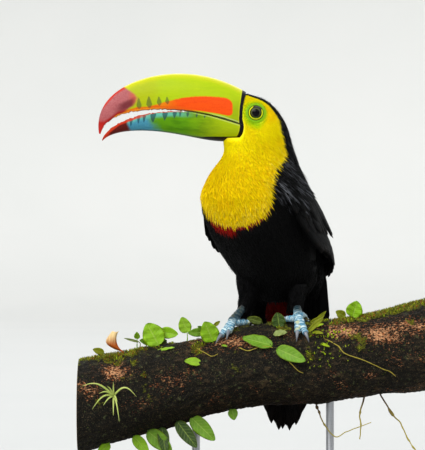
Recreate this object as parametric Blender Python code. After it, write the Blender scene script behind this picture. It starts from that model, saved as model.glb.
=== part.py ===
"""Keel-billed toucan gripping a cut branch on a plain stand: a still, life-size model.

The world is in metres with +Z up.  The origin is the middle of the base's underside, the branch
runs along X, the head looks toward -X and the chest turns toward -Y.  Lengths and places below
are millimetres, made metres when a mesh is built; angles are degrees.

The bird is one swept form whose sections turn from the bill (yaw 90) to the tail (yaw 22).  It
is parted into head, neck and trunk at two flat sections, and the bill, eyes, wings, coverts,
tail, thighs and legs are fitted to it with a small clearance.
"""
import math

import bmesh
import bpy
import numpy as np
from mathutils import Matrix

MM = 0.001
GAP = 0.3                       # clearance between pieces that meet
BODY_SIDES = 24                 # points round a body section

# Body stations from forehead to vent: belly point (x, z), back point (x, z), yaw, half width, y.
BODY = np.array([
    (-35.0, 352.0, -12.0, 399.0, 90.0, 18.0, 0.0),      # bill base
    (-34.5, 346.0, 10.7, 390.0, 90.0, 20.5, 0.0),       # eyes
    (-34.5, 340.0, 27.0, 370.0, 90.0, 24.0, -2.0),      # crown and throat
    (-38.0, 332.0, 35.5, 345.0, 73.0, 31.0, -1.0),      # nape
    (-51.0, 313.5, 46.0, 315.0, 53.0, 44.5, 1.0),       # neck base
    (-57.5, 291.5, 56.0, 285.0, 37.0, 54.0, 6.0),       # breast
    (-46.3, 255.0, 60.5, 252.0, 31.0, 51.0, 14.0),      # belly
    (-26.5, 222.0, 59.5, 222.0, 27.0, 42.5, 24.0),      # lower belly
    (-3.0, 195.0, 45.0, 196.0, 25.0, 23.0, 35.0),       # vent
])
HEAD_END = 2.55                 # station where the head stops and the neck starts
NECK_END = 3.8
BODY_END = 8.0
VENT_DROP = 9.0                 # length of the rounded end below the last station

# Bill edges in the bill's upright middle plane, as Bezier handles (x, z) from base to tip.
CULMEN = [(-13.0, 400.5), (-54.0, 424.0), (-95.5, 427.0), (-169.5, 411.0), (-158.7, 356.6)]
TOMIUM = [(-15.0, 366.7), (-60.7, 383.4), (-68.6, 379.5), (-149.2, 394.5), (-157.8, 356.8)]
LOWER_EDGE = [(-15.0, 366.0), (-60.6, 379.9), (-68.1, 387.0), (-147.4, 383.0), (-156.2, 351.2)]
GONYS = [(-18.0, 351.5), (-61.2, 346.6), (-65.4, 361.4), (-142.1, 370.7), (-156.0, 350.4)]
# Where the feathers stop at the bill's base, from over the crown to under the chin (x, z).
BILL_BASE = [(-11.5, 407.0), (-13.2, 397.6), (-15.8, 386.0), (-16.4, 374.0), (-14.8, 365.0),
             (-16.5, 357.0), (-21.0, 351.4), (-24.0, 344.0)]
CHIN_LEVEL = 353.2              # below this the feathers lap round the lower bill's sides
BILL_BASE_WIDTH = 18.5          # half widths
BILL_TIP_WIDTH = 1.2
BILL_ROOT = -0.07               # Bezier parameter where the bill's hidden root starts
BILL_BLOCK = (-190.0, 440.0, 60.0)           # front, top and half width of the cutter ahead of it

EYE = (-2.4, 14.0, 378.6)       # x, distance from the middle plane, z
EYE_RADIUS = 7.2
EYE_SOCKET = EYE_RADIUS + GAP

# Wing: from the shoulder to the feather tips, laid over the trunk.
WING_TOP = 3.95                 # body station of the shoulder
WING_FRONT = (108.0, 106.0, 102.0, 95.0)    # angle from the back of the front edge, top to tip
WING_BACK = (48.0, 30.0, 15.0, 8.0)
WING_TIP = (6.3, 6.75, 7.05, 6.85)          # station of the tips, front edge to back edge
WING_LIFT = (2.4, 3.0, 5.5, 13.5, 18.5)     # height of the outer face over the trunk, top to tip
WING_THICK = (2.0, 2.4, 3.0, 3.6, 2.4)
WING_FEATHERS = 5
WING_SCALLOP = 0.16             # depth of the notches between feather tips, in stations
WING_SHOULDER = 0.35            # how far the shoulder's ends sit below its middle, in stations

# Tail: middle line (x, y) and half width at heights from root to tip.
TAIL_YAW = 22.0
TAIL_Z = (224.0, 205.0, 174.0, 130.0, 87.0, 60.0)
TAIL_X = (46.0, 43.5, 41.0, 35.0, 29.0, 27.5)
TAIL_Y = (62.0, 65.0, 66.0, 65.0, 63.0, 62.0)
TAIL_HALF = (22.0, 27.0, 32.5, 29.0, 23.0, 20.5)
TAIL_THICK = (5.0, 4.0, 3.2, 2.6, 2.0, 1.4)
TAIL_ROUND = 27.0               # how much shorter the outer feathers are
TAIL_SCALLOP = 3.0
TAIL_ARC = 0.93                 # share of a half circle that the rounded end spans
TAIL_FEATHERS = 10
TAIL_CAMBER = 3.5               # the edges bend forward by this much

# Swept ellipses: (x, y, z, half width, half depth) from top to bottom.
UNDERTAIL = [(18, 44, 206, 21, 13), (22, 50, 190, 22, 11), (26, 55, 170, 18, 7), (31, 58, 148, 9, 3)]
RUMP = [(40, 59, 239, 18, 10), (43, 69, 219, 20, 8.5), (43, 72.2, 196, 17, 6.5), (42, 72, 172, 9, 4)]
THIGHS = {
    "right": [(-6, 20, 226, 16, 17), (-7, 18, 210, 15, 15), (-8.5, 17, 196, 11, 11),
              (-10, 16, 186, 7, 7)],
    "left": [(46, 16, 226, 14, 16), (45, 22, 210, 14, 15), (40, 26, 196, 11, 11),
             (37, 26, 186, 7, 7)],
}

# Legs: shank points above the foot joint, then places (x, angle) on the branch for the foot
# joint and the end of each toe, where angle 0 is the branch's top line and 90 its front.
ANKLES = {
    "right": [(-8.0, 16.0, 188.0), (-16.5, 7.5, 181.5)],
    "left": [(37.5, 22.0, 187.0), (39.0, 3.0, 184.0)],
}
FOOT_JOINTS = {"right": (-26.0, 3.0), "left": (40.0, 20.0)}
TOE_ENDS = {
    "right": [(-37.0, 28.0), (-29.5, 26.5), (-9.5, -8.0), (-31.0, -40.0)],
    "left": [(46.5, 46.0), (38.5, 43.5), (28.0, 13.0), (48.0, -22.0)],
}
FOOT_HEIGHT = 7.6               # of the foot joint's middle over the bark
SHANK_RADII = (4.1, 3.8, 4.9)
TOE_RADII = (4.3, 3.0)
TOE_PADS = 0.25                 # swelling of the pads under a toe
TOE_REST = 0.65                 # of toes and claws over the bark, which is lumpy between its rings
CLAW_LENGTH = 12.0
CLAW_RADII = (2.2, 0.35)
CLAW_ARCH = 1.1                 # rise of a claw before it comes down to the bark
CLAW_TIP_LIFT = 0.9

# Branch stations: x, height of the middle, radius.
BRANCH = np.array([
    (-180, 84.0, 47.0), (-145, 93.0, 45.5), (-108, 102.5, 43.5), (-75, 110.0, 41.0),
    (-48, 116.5, 38.8), (-22, 123.5, 41.0), (7, 127.0, 41.0), (40, 129.0, 41.3),
    (69, 130.5, 41.5), (117, 138.5, 41.0), (150, 144.0, 44.0), (180, 150.0, 46.5),
], dtype=float)
BRANCH_SIDES = 26
BRANCH_RINGS = 25
BRANCH_LUMPS = 0.9

BASE_SIZE = (270.0, 180.0, 14.0)
BASE_CORNER = 26.0
BASE_EDGE = 3.0
ROD_X = (-62.0, 72.0)
ROD_RADIUS = 4.0
ROD_SIDES = 20
ROD_IN_BASE = 9.0
ROD_IN_BRANCH = 16.0
HOLE_OVERRUN = 20.0             # how far a hole's cutter sticks out of the surface


# ---------------------------------------------------------------- maths

def unit(vectors):
    """Vectors scaled to length one."""
    return vectors / np.linalg.norm(vectors, axis=-1, keepdims=True)


def spline(rows, t):
    """Catmull-Rom curve through evenly spaced rows; t counts rows and may be an array."""
    rows = np.asarray(rows, dtype=float)
    if rows.ndim == 1:
        rows = rows[:, None]
    ends = np.vstack([2 * rows[0] - rows[1], rows, 2 * rows[-1] - rows[-2]])
    t = np.asarray(t, dtype=float)
    i = np.clip(np.floor(t).astype(int), 0, len(rows) - 2)
    f = (t - i)[..., None]
    a, b, c, d = (ends[i + k] for k in range(4))
    curve = b + 0.5 * f * (c - a + f * (2 * a - 5 * b + 4 * c - d + f * (3 * (b - c) + d - a)))
    return curve


def along(values, u):
    """One number read from evenly spaced values, u from 0 at the first to 1 at the last."""
    return spline(values, np.asarray(u) * (len(values) - 1))[..., 0]


def bezier(handles, t):
    """Points of the Bezier curve with these handles."""
    t = np.asarray(t, dtype=float)[..., None]
    n = len(handles) - 1
    return sum(math.comb(n, k) * t**k * (1 - t)**(n - k) * np.array(handle)
               for k, handle in enumerate(handles))


def yaw_axes(yaw):
    """Unit vectors to the bird's back and to its left for a section turned by yaw."""
    a = np.radians(yaw)
    zero = np.zeros_like(a)
    return np.stack([np.sin(a), np.cos(a), zero], -1), np.stack([np.cos(a), -np.sin(a), zero], -1)


def body_point(station, angle, lift=0.0):
    """Point of the body's skin; angle 0 is the back and 90 the left side, lift raises it."""
    station, angle, lift = np.broadcast_arrays(np.asarray(station, float), np.asarray(angle, float),
                                               np.asarray(lift, float))
    belly_x, belly_z, back_x, back_z, yaw, width, y = np.moveaxis(spline(BODY, station), -1, 0)
    back, left = yaw_axes(yaw)
    chord = np.hypot(back_x - belly_x, back_z - belly_z)
    tilt = np.arctan2(back_z - belly_z, back_x - belly_x)[..., None]
    turn = np.radians(yaw)
    depth = np.sqrt((chord / 2)**2 - (width * np.cos(turn))**2) / np.sin(turn)
    back = back * np.cos(tilt) + np.array([0.0, 0.0, 1.0]) * np.sin(tilt)
    centre = np.stack([(belly_x + back_x) / 2, y, (belly_z + back_z) / 2], -1)
    a = np.radians(angle)
    return (centre + back * ((depth + lift) * np.cos(a))[..., None]
            + left * ((width + lift) * np.sin(a))[..., None])


def branch_point(x, angle, lift=0.0):
    """Point on the branch's bark; angle 0 is its top line and 90 faces the front."""
    x, angle, lift = np.broadcast_arrays(*(np.asarray(v, float) for v in (x, angle, lift)))
    a = np.radians(angle)
    place = np.interp(x, BRANCH[:, 0], np.arange(len(BRANCH)))
    height, radius = np.moveaxis(spline(BRANCH[:, 1:], place), -1, 0)
    lumps = (np.sin(x / 17.0 + 2 * a) + np.sin(x / 29.0 - 3 * a + 1.0) + np.sin(5 * a + x / 41.0))
    radius = radius + BRANCH_LUMPS * lumps / 2 + lift
    return np.stack([x, -radius * np.sin(a), height + radius * np.cos(a)], -1)


# ---------------------------------------------------------------- meshes and objects

def collection(name):
    made = bpy.data.collections.new(name)
    bpy.context.scene.collection.children.link(made)
    return made


def material(name, colour, roughness, metallic=0.0):
    """A Principled material of its own for each object."""
    made = bpy.data.materials.new(name)
    made.use_nodes = True
    shader = made.node_tree.nodes["Principled BSDF"]
    shader.inputs["Base Color"].default_value = (*colour, 1.0)
    shader.inputs["Roughness"].default_value = roughness
    shader.inputs["Metallic"].default_value = metallic
    return made


def add_object(name, mesh, group):
    made = bpy.data.objects.new(name, mesh)
    group.objects.link(made)
    return made


def finish(piece, look):
    """Gives a piece its material and smooth shading with sharp edges kept."""
    piece.data.materials.clear()
    piece.data.materials.append(material(piece.name, *look))
    piece.data.shade_smooth()
    piece.data.set_sharp_from_angle(angle=math.radians(40))


def mesh_from(name, points, faces):
    """A closed mesh in metres from points in millimetres, its faces turned outward."""
    bm = bmesh.new()
    vertices = [bm.verts.new(point) for point in np.asarray(points) * MM]
    for face in faces:
        bm.faces.new([vertices[i] for i in face])
    bmesh.ops.recalc_face_normals(bm, faces=bm.faces)
    mesh = bpy.data.meshes.new(name)
    bm.to_mesh(mesh)
    bm.free()
    return mesh


def loft(name, rings, group):
    """A closed solid through rings of equal point counts, with a flat cap at each end."""
    count, sides = rings.shape[:2]
    faces = [(i * sides + j, i * sides + (j + 1) % sides, (i + 1) * sides + (j + 1) % sides,
              (i + 1) * sides + j) for i in range(count - 1) for j in range(sides)]
    faces += [tuple(range(sides)), tuple((count - 1) * sides + j for j in range(sides))]
    return add_object(name, mesh_from(name, rings.reshape(-1, 3), faces), group)


def shell(name, outer, inner, group):
    """A closed plate between two grids of points that share their layout."""
    rows, columns = outer.shape[:2]
    rings = np.concatenate([outer, inner[:, ::-1]], axis=1)
    sides = 2 * columns
    faces = [(i * sides + j, i * sides + (j + 1) % sides, (i + 1) * sides + (j + 1) % sides,
              (i + 1) * sides + j) for i in range(rows - 1) for j in range(sides)]
    for i in (0, rows - 1):
        faces += [(i * sides + j, i * sides + j + 1, i * sides + sides - 2 - j,
                   i * sides + sides - 1 - j) for j in range(columns - 1)]
    return add_object(name, mesh_from(name, rings.reshape(-1, 3), faces), group)


def tube_rings(path, radii, sides, flat=1.0):
    """Round rings across a path; flat under 1 squashes them away from the branch or upward."""
    path = np.asarray(path, dtype=float)
    tangent = unit(np.gradient(path, axis=0))
    up = np.array([0.0, 0.0, 1.0]) - tangent * tangent[:, 2:3]
    up = unit(up + np.array([0.0, 1e-3, 0.0]))
    side = np.cross(tangent, up)
    turn = np.linspace(0, 2 * np.pi, sides, endpoint=False)
    radii = np.asarray(radii, dtype=float)[:, None, None]
    return path[:, None] + radii * (side[:, None] * np.cos(turn)[None, :, None]
                                    + up[:, None] * (flat * np.sin(turn))[None, :, None])


def prism(name, outline, half_width, group):
    """A solid with this outline in the X-Z plane, reaching half_width to each side of y = 0."""
    rings = [[(x, y, z) for x, z in outline] for y in (-half_width, half_width)]
    return loft(name, np.array(rings, dtype=float), group)


def boolean(piece, other, operation):
    """Cuts or joins a piece with another one and keeps the result as a plain mesh."""
    step = piece.modifiers.new(operation.title(), "BOOLEAN")
    step.operation = operation
    step.solver = "EXACT"
    step.object = other
    bpy.context.view_layer.update()
    shaped = piece.evaluated_get(bpy.context.evaluated_depsgraph_get())
    mesh = bpy.data.meshes.new_from_object(shaped)
    piece.modifiers.clear()
    piece.data = mesh
    return piece


def keep_as_cutter(piece):
    piece.hide_render = True
    piece.display_type = "WIRE"


# ---------------------------------------------------------------- the bird

def ellipse_rings(rows, yaw, steps, sides, grow=0.0):
    """Level ellipses turned by yaw, smoothed through rows of (x, y, z, width, depth)."""
    place = np.linspace(0, len(rows) - 1, steps)
    x, y, z, width, depth = np.moveaxis(spline(rows, place), -1, 0)
    back, left = yaw_axes(yaw)
    turn = np.linspace(0, 2 * np.pi, sides, endpoint=False)
    return (np.stack([x, y, z], -1)[:, None]
            + left * ((width + grow)[:, None] * np.cos(turn))[..., None]
            + back * ((depth + grow)[:, None] * np.sin(turn))[..., None])


def body_rings(first, last, steps, lift=0.0):
    angles = np.linspace(0, 360, BODY_SIDES, endpoint=False)
    return body_point(np.linspace(first, last, steps)[:, None], angles[None], lift)


def vent_rings(lift=0.0):
    """The rounded lower end: the last section shrunk along a quarter circle."""
    last = body_point(BODY_END, np.linspace(0, 360, BODY_SIDES, endpoint=False), lift)
    centre = last.mean(axis=0)
    sink = np.radians([25, 50, 72, 86])
    down = np.array([0.0, 0.0, -(VENT_DROP + lift)])
    return np.stack([centre + (last - centre) * np.cos(s) + down * np.sin(s) for s in sink])


def after_gap(rings):
    """Moves the first ring on by the clearance, along its own normal."""
    first = rings[0]
    normal = unit(np.cross(first[BODY_SIDES // 4] - first[0], first[BODY_SIDES // 2] - first[0]))
    toward = np.sign(np.dot(rings[1].mean(axis=0) - first.mean(axis=0), normal))
    rings[0] = first + normal * toward * GAP
    return rings


def add_body(group):
    head = loft("head", body_rings(0.0, HEAD_END, 10), group)
    neck = loft("neck", after_gap(body_rings(HEAD_END, NECK_END, 6)), group)
    upper = after_gap(body_rings(NECK_END, BODY_END, 14))
    trunk = loft("trunk", np.concatenate([upper, vent_rings()]), group)
    return head, neck, trunk


def add_trunk_cutter(group):
    """The trunk made larger by the clearance, to cut what grows from it."""
    rings = np.concatenate([body_rings(NECK_END, BODY_END, 14, GAP), vent_rings(GAP)])
    return loft("trunk_cutter", rings, group)


def bill_width(t):
    """Half width of the bill at Bezier parameter t."""
    t = np.clip(t, 0, 1)
    return BILL_TIP_WIDTH + (BILL_BASE_WIDTH - BILL_TIP_WIDTH) * (1 - t**1.9)**0.85


def add_bill_half(name, edge, ridge, steps, group, grow=0.0):
    """Half of the bill: flat across its cutting edges and rounded to its ridge."""
    t = np.concatenate([[BILL_ROOT], np.linspace(0, 1, steps) ** 0.85 * 0.99])
    turn = np.radians([0, 14, 30, 48, 68, 90, 112, 132, 150, 166, 180])
    across = np.concatenate([np.cos(turn), [-0.5, 0.0, 0.5]])
    up = np.concatenate([np.sin(turn)**0.92, [0.0, 0.0, 0.0]])
    low, high = bezier(edge, t), bezier(ridge, t)
    outward = unit(high - low) * grow
    low, high = low - outward, high + outward
    middle = low[:, None] + (high - low)[:, None] * up[None, :, None]
    y = (bill_width(t) + grow)[:, None] * (np.sign(across) * np.abs(across)**0.9)[None]
    return loft(name, np.stack([middle[..., 0], y, middle[..., 1]], -1), group)


def base_block(name, shift, floor, group):
    """Everything ahead of the feathered bill base and above floor, moved forward by shift."""
    line = spline(BILL_BASE, np.linspace(0, len(BILL_BASE) - 1, 22)) + np.array([-shift, 0.0])
    line = line[line[:, 1] > floor]
    tip, top, half_width = BILL_BLOCK
    front = [(tip, line[-1, 1]), (tip, top), (line[0, 0], top)]
    return prism(name, [tuple(point) for point in line] + front, half_width, group)


def add_bill(head, group, cutters):
    """Both halves of the bill, cut off along the feathers, and the head cut to take them."""
    upper = add_bill_half("upper_bill", TOMIUM, CULMEN, 17, group)
    lower = add_bill_half("lower_bill", LOWER_EDGE, GONYS, 14, group)
    bill_block = base_block("bill_block", GAP / 2, 0.0, cutters)
    for half in (upper, lower):
        boolean(half, bill_block, "INTERSECT")
    chin_cutter = add_bill_half("chin_cutter", LOWER_EDGE, GONYS, 14, cutters, GAP)
    boolean(chin_cutter, base_block("chin_block", -0.6 * GAP, 0.0, cutters), "INTERSECT")
    for cutter in (base_block("head_cutter", -GAP / 2, CHIN_LEVEL, cutters), chin_cutter):
        boolean(head, cutter, "DIFFERENCE")
    return upper, lower


def add_eyes(head, group, cutters):
    eyes = []
    for side, sign in (("left", -1), ("right", 1)):
        centre = (EYE[0], sign * EYE[1], EYE[2])
        for name, radius, where in ((f"{side}_eye", EYE_RADIUS, group),
                                    (f"{side}_socket", EYE_SOCKET, cutters)):
            mesh = bpy.data.meshes.new(name)
            bm = bmesh.new()
            bmesh.ops.create_uvsphere(bm, u_segments=14, v_segments=9, radius=radius * MM)
            bmesh.ops.rotate(bm, verts=bm.verts, matrix=Matrix.Rotation(math.pi / 2, 3, "X"))
            bm.to_mesh(mesh)
            bm.free()
            ball = add_object(name, mesh, where)
            ball.location = [value * MM for value in centre]
            if where is group:
                eyes.append(ball)
            else:
                bpy.context.view_layer.update()
                boolean(head, ball, "DIFFERENCE")
    return eyes


def feather_tips(v, count):
    """0 at each feather's tip and 1 in the notch between two, for v from 0 to 1."""
    across = 2 * ((v * count) % 1.0) - 1
    return 1 - np.sqrt(np.clip(1 - across**2, 0, 1))


def add_wing(side, group):
    """A folded wing: a plate over the trunk that lifts off it toward the feather tips."""
    sign = 1 if side == "left" else -1
    v = np.linspace(0, 1, 4 * WING_FEATHERS + 1)[None]
    u = np.linspace(0, 1, 9)[:, None]
    front, back = along(WING_FRONT, u), along(WING_BACK, u)
    angle = front + (back - front) * v
    notch = WING_SCALLOP * feather_tips(np.clip(v, 0.001, 0.999), WING_FEATHERS)
    tip = along(WING_TIP, v) - notch
    station = WING_TOP + (tip - WING_TOP) * u + WING_SHOULDER * (1 - u) * (2 * v - 1)**2
    height = (station - WING_TOP) / (max(WING_TIP) - WING_TOP)
    outer = along(WING_LIFT, height)
    inner = np.maximum(outer - along(WING_THICK, height), 1.5 * GAP)
    return shell(f"{side}_wing", body_point(station, sign * angle, outer),
                 body_point(station, sign * angle, inner), group)


def tail_grids(grow=0.0):
    """Outer and inner faces of the fanned tail; grow thickens and widens it."""
    v = np.linspace(-1, 1, 3 * TAIL_FEATHERS + 1)[None]
    u = np.linspace(0, 1, 7)[:, None]
    arc = TAIL_ROUND * (1 - np.sqrt(1 - (TAIL_ARC * v)**2))
    end = TAIL_Z[-1] + arc + TAIL_SCALLOP * feather_tips((v + 1) / 2.0002, TAIL_FEATHERS)
    z = TAIL_Z[0] + (end - TAIL_Z[0]) * u
    place = np.interp(-z, -np.array(TAIL_Z), np.arange(len(TAIL_Z)))
    x, y, half, thick = (spline(row, place)[..., 0]
                         for row in (TAIL_X, TAIL_Y, TAIL_HALF, TAIL_THICK))
    back, left = yaw_axes(TAIL_YAW)
    across = left * ((half + grow) * v)[..., None]
    middle = np.stack([x, y, z], -1) + across - back * (TAIL_CAMBER * v**2)[..., None]
    thickness = back * ((thick / 2 + grow))[..., None]
    return middle + thickness, middle - thickness


def add_tail(trunk_cutter, group, cutters):
    """Tail, red undertail coverts and white rump, each cut clear of what it grows from."""
    tail = shell("tail", *tail_grids(), group)
    tail_cutter = shell("tail_cutter", *tail_grids(GAP), cutters)
    boolean(tail, trunk_cutter, "DIFFERENCE")
    undertail = loft("undertail_coverts", ellipse_rings(UNDERTAIL, TAIL_YAW, 6, 14), group)
    rump = loft("rump_coverts", ellipse_rings(RUMP, TAIL_YAW, 6, 14), group)
    for piece in (undertail, rump):
        boolean(piece, trunk_cutter, "DIFFERENCE")
        boolean(piece, tail_cutter, "DIFFERENCE")
    return tail, undertail, rump


def shank_rings(side, grow=0.0):
    """The shank as a tube; grow widens it and pushes its upper end out."""
    x, angle = FOOT_JOINTS[side]
    path = spline(ANKLES[side] + [branch_point(x, angle, FOOT_HEIGHT)], np.linspace(0, 2, 5))
    path[0] += unit(path[0] - path[1]) * grow
    return tube_rings(path, along(SHANK_RADII, np.linspace(0, 1, 5)) + grow, 12)


def add_thigh(side, trunk_cutter, group, cutters):
    """The feathered thigh, cut off at the trunk and hollowed for the top of the shank."""
    thigh = loft(f"{side}_thigh", ellipse_rings(THIGHS[side], TAIL_YAW, 6, 14), group)
    boolean(thigh, trunk_cutter, "DIFFERENCE")
    shank_cutter = loft(f"{side}_shank_cutter", shank_rings(side, GAP), cutters)
    return boolean(thigh, shank_cutter, "DIFFERENCE")


def toe_path(side, end, steps):
    """Middle line of a toe and its radii, from the foot joint down onto the bark and along it."""
    start = FOOT_JOINTS[side]
    t = np.linspace(0, 1, steps)
    radii = along(TOE_RADII, t) + TOE_PADS * np.cos(6 * np.pi * t)
    rest = radii + TOE_REST
    lift = rest + (FOOT_HEIGHT - rest) * (1 - t)**3
    return branch_point(start[0] + (end[0] - start[0]) * t,
                        start[1] + (end[1] - start[1]) * t, lift), radii


def claw_rings(side, end):
    """A curved claw that leaves the toe's end and comes down to the bark."""
    path, radii = toe_path(side, end, 9)
    heading = unit(path[-1] - path[-2])
    start = FOOT_JOINTS[side]
    arc = np.radians(end[1] - start[1]) * BRANCH[:, 2].mean()
    course = unit(np.array([end[0] - start[0], arc])) * CLAW_LENGTH
    t = np.linspace(0, 1, 5)
    widths = CLAW_RADII[0] + (CLAW_RADII[1] - CLAW_RADII[0]) * t**1.2
    lift = (radii[-1] + TOE_REST + CLAW_ARCH * np.sin(np.pi * t * 0.8)
            - (radii[-1] - CLAW_TIP_LIFT) * t**2)
    curve = branch_point(end[0] + course[0] * t,
                         end[1] + np.degrees(course[1] * t / BRANCH[:, 2].mean()),
                         np.maximum(lift, widths + TOE_REST - 0.15))
    return tube_rings(curve + heading * 1.15 * GAP, widths, 6)


def add_leg(side, group):
    """Shank and four toes, two forward and two back, joined into one solid; four claws."""
    leg = loft(f"{side}_leg", shank_rings(side), group)
    claws = []
    for index, end in enumerate(TOE_ENDS[side], 1):
        path, radii = toe_path(side, end, 8)
        toe = loft(f"{side}_toe_{index}", tube_rings(path, radii, 8, 0.92), group)
        boolean(leg, toe, "UNION")
        bpy.data.objects.remove(toe)
        claws.append(loft(f"{side}_claw_{index}", claw_rings(side, end), group))
    return leg, claws


# ---------------------------------------------------------------- branch and stand

def add_branch(group, cutters):
    """The cut branch with two blind sockets for the rods in its underside."""
    x = np.linspace(BRANCH[0, 0], BRANCH[-1, 0], BRANCH_RINGS)[:, None]
    angles = np.linspace(0, 360, BRANCH_SIDES, endpoint=False)[None]
    branch = loft("branch", branch_point(x, angles), group)
    for index, rod_x in enumerate(ROD_X, 1):
        under = branch_point(rod_x, 180.0)[2]
        socket = add_cylinder(f"branch_socket_{index}", rod_x, under - HOLE_OVERRUN,
                              under + ROD_IN_BRANCH + GAP, ROD_RADIUS + GAP, cutters)
        boolean(branch, socket, "DIFFERENCE")
    return branch


def add_cylinder(name, x, bottom, top, radius, group):
    """An upright cylinder at (x, 0) between two heights."""
    bm = bmesh.new()
    bmesh.ops.create_cone(bm, cap_ends=True, segments=ROD_SIDES, radius1=radius * MM,
                          radius2=radius * MM, depth=(top - bottom) * MM)
    mesh = bpy.data.meshes.new(name)
    bm.to_mesh(mesh)
    bm.free()
    made = add_object(name, mesh, group)
    made.location = (x * MM, 0.0, (bottom + top) / 2 * MM)
    bpy.context.view_layer.update()
    return made


def add_base(group, cutters):
    """The flat base, with rounded corners, a rounded upper rim and a blind hole for each rod."""
    mesh = bpy.data.meshes.new("stand_base")
    bm = bmesh.new()
    bmesh.ops.create_cube(bm, size=1.0)
    bmesh.ops.scale(bm, verts=bm.verts, vec=[size * MM for size in BASE_SIZE])
    upright = [edge for edge in bm.edges
               if abs(edge.verts[0].co.z - edge.verts[1].co.z) > 1e-6]
    bmesh.ops.bevel(bm, geom=upright, offset=BASE_CORNER * MM, segments=4, profile=0.5,
                    affect="EDGES")
    rim = [edge for edge in bm.edges
           if min(vertex.co.z for vertex in edge.verts) > 0 and len(edge.link_faces) == 2
           and abs(edge.calc_face_angle() - math.pi / 2) < 0.1]
    bmesh.ops.bevel(bm, geom=rim, offset=BASE_EDGE * MM, segments=2, profile=0.5, affect="EDGES")
    bm.to_mesh(mesh)
    bm.free()
    base = add_object("stand_base", mesh, group)
    base.location = (0.0, 0.0, BASE_SIZE[2] / 2 * MM)
    bpy.context.view_layer.update()
    for index, rod_x in enumerate(ROD_X, 1):
        hole = add_cylinder(f"base_hole_{index}", rod_x, BASE_SIZE[2] - ROD_IN_BASE - GAP,
                            BASE_SIZE[2] + HOLE_OVERRUN, ROD_RADIUS + GAP, cutters)
        boolean(base, hole, "DIFFERENCE")
    return base


def add_rods(group):
    rods = []
    for index, rod_x in enumerate(ROD_X, 1):
        top = branch_point(rod_x, 180.0)[2] + ROD_IN_BRANCH
        rods.append(add_cylinder(f"stand_rod_{index}", rod_x, BASE_SIZE[2] - ROD_IN_BASE, top,
                                 ROD_RADIUS, group))
    return rods


# ---------------------------------------------------------------- the whole

YELLOW = (0.84, 0.56, 0.0)
BLACK = (0.006, 0.006, 0.007)
LIME = (0.45, 0.62, 0.02)
GREEN = (0.15, 0.4, 0.02)
RED = (0.35, 0.01, 0.01)
WHITE = (0.8, 0.78, 0.72)
BLUE_GREY = (0.25, 0.38, 0.36)
HORN = (0.2, 0.22, 0.22)
BARK = (0.09, 0.05, 0.03)
WALNUT = (0.12, 0.06, 0.03)
STEEL = (0.6, 0.6, 0.61)


def main():
    for old in list(bpy.data.objects):
        bpy.data.objects.remove(old)
    group = collection("keel_billed_toucan")
    cutters = collection("cutters")

    head, neck, trunk = add_body(group)
    upper, lower = add_bill(head, group, cutters)
    eyes = add_eyes(head, group, cutters)
    trunk_cutter = add_trunk_cutter(cutters)
    wings = [add_wing(side, group) for side in ("left", "right")]
    tail, undertail, rump = add_tail(trunk_cutter, group, cutters)
    thighs = [add_thigh(side, trunk_cutter, group, cutters) for side in ("left", "right")]
    legs = [add_leg(side, group) for side in ("left", "right")]
    branch = add_branch(group, cutters)
    base = add_base(group, cutters)
    rods = add_rods(group)

    looks = [((head, neck), (YELLOW, 0.8)), ((trunk, tail, *wings, *thighs), (BLACK, 0.7)),
             ((upper,), (LIME, 0.35)), ((lower,), (GREEN, 0.35)), (eyes, (BLACK, 0.1)),
             ((undertail,), (RED, 0.8)), ((rump,), (WHITE, 0.8)),
             ([leg for leg, _ in legs], (BLUE_GREY, 0.6)),
             ([claw for _, claws in legs for claw in claws], (HORN, 0.4)),
             ((branch,), (BARK, 0.9)), ((base,), (WALNUT, 0.5)), (rods, (STEEL, 0.35, 1.0))]
    for pieces, look in looks:
        for piece in pieces:
            finish(piece, look)
    for cutter in cutters.objects:
        keep_as_cutter(cutter)


main()
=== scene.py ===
"""Keel-billed toucan gripping a cut branch on a display stand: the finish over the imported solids.

Lengths and places are millimetres and angles degrees, in the same frame as the solids: the origin
is the middle of the base's underside, the branch runs along X, the bill points to -X and the chest
turns toward -Y.  The body's surface is read as (station, angle): stations run from the bill's base
to the vent, and the angle goes round from 0 on the back through 90 on the left side to 180 below.
"""

import math
from functools import reduce

import bmesh
import bpy
import numpy as np
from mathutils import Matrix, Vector
from mathutils.kdtree import KDTree


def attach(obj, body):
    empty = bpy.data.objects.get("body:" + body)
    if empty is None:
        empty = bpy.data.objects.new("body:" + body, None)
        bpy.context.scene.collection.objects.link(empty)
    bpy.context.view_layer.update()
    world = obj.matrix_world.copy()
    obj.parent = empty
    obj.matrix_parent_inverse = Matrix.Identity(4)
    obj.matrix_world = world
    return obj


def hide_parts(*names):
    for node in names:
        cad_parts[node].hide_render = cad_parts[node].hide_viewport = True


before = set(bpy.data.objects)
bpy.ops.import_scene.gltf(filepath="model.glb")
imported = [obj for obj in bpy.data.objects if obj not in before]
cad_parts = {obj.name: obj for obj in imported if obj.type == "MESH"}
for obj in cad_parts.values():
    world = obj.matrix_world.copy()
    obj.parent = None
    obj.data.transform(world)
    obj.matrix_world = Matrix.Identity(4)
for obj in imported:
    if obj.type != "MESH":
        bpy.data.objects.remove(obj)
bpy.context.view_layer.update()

MM = 0.001

# ---------------- the solids' named values

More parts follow.
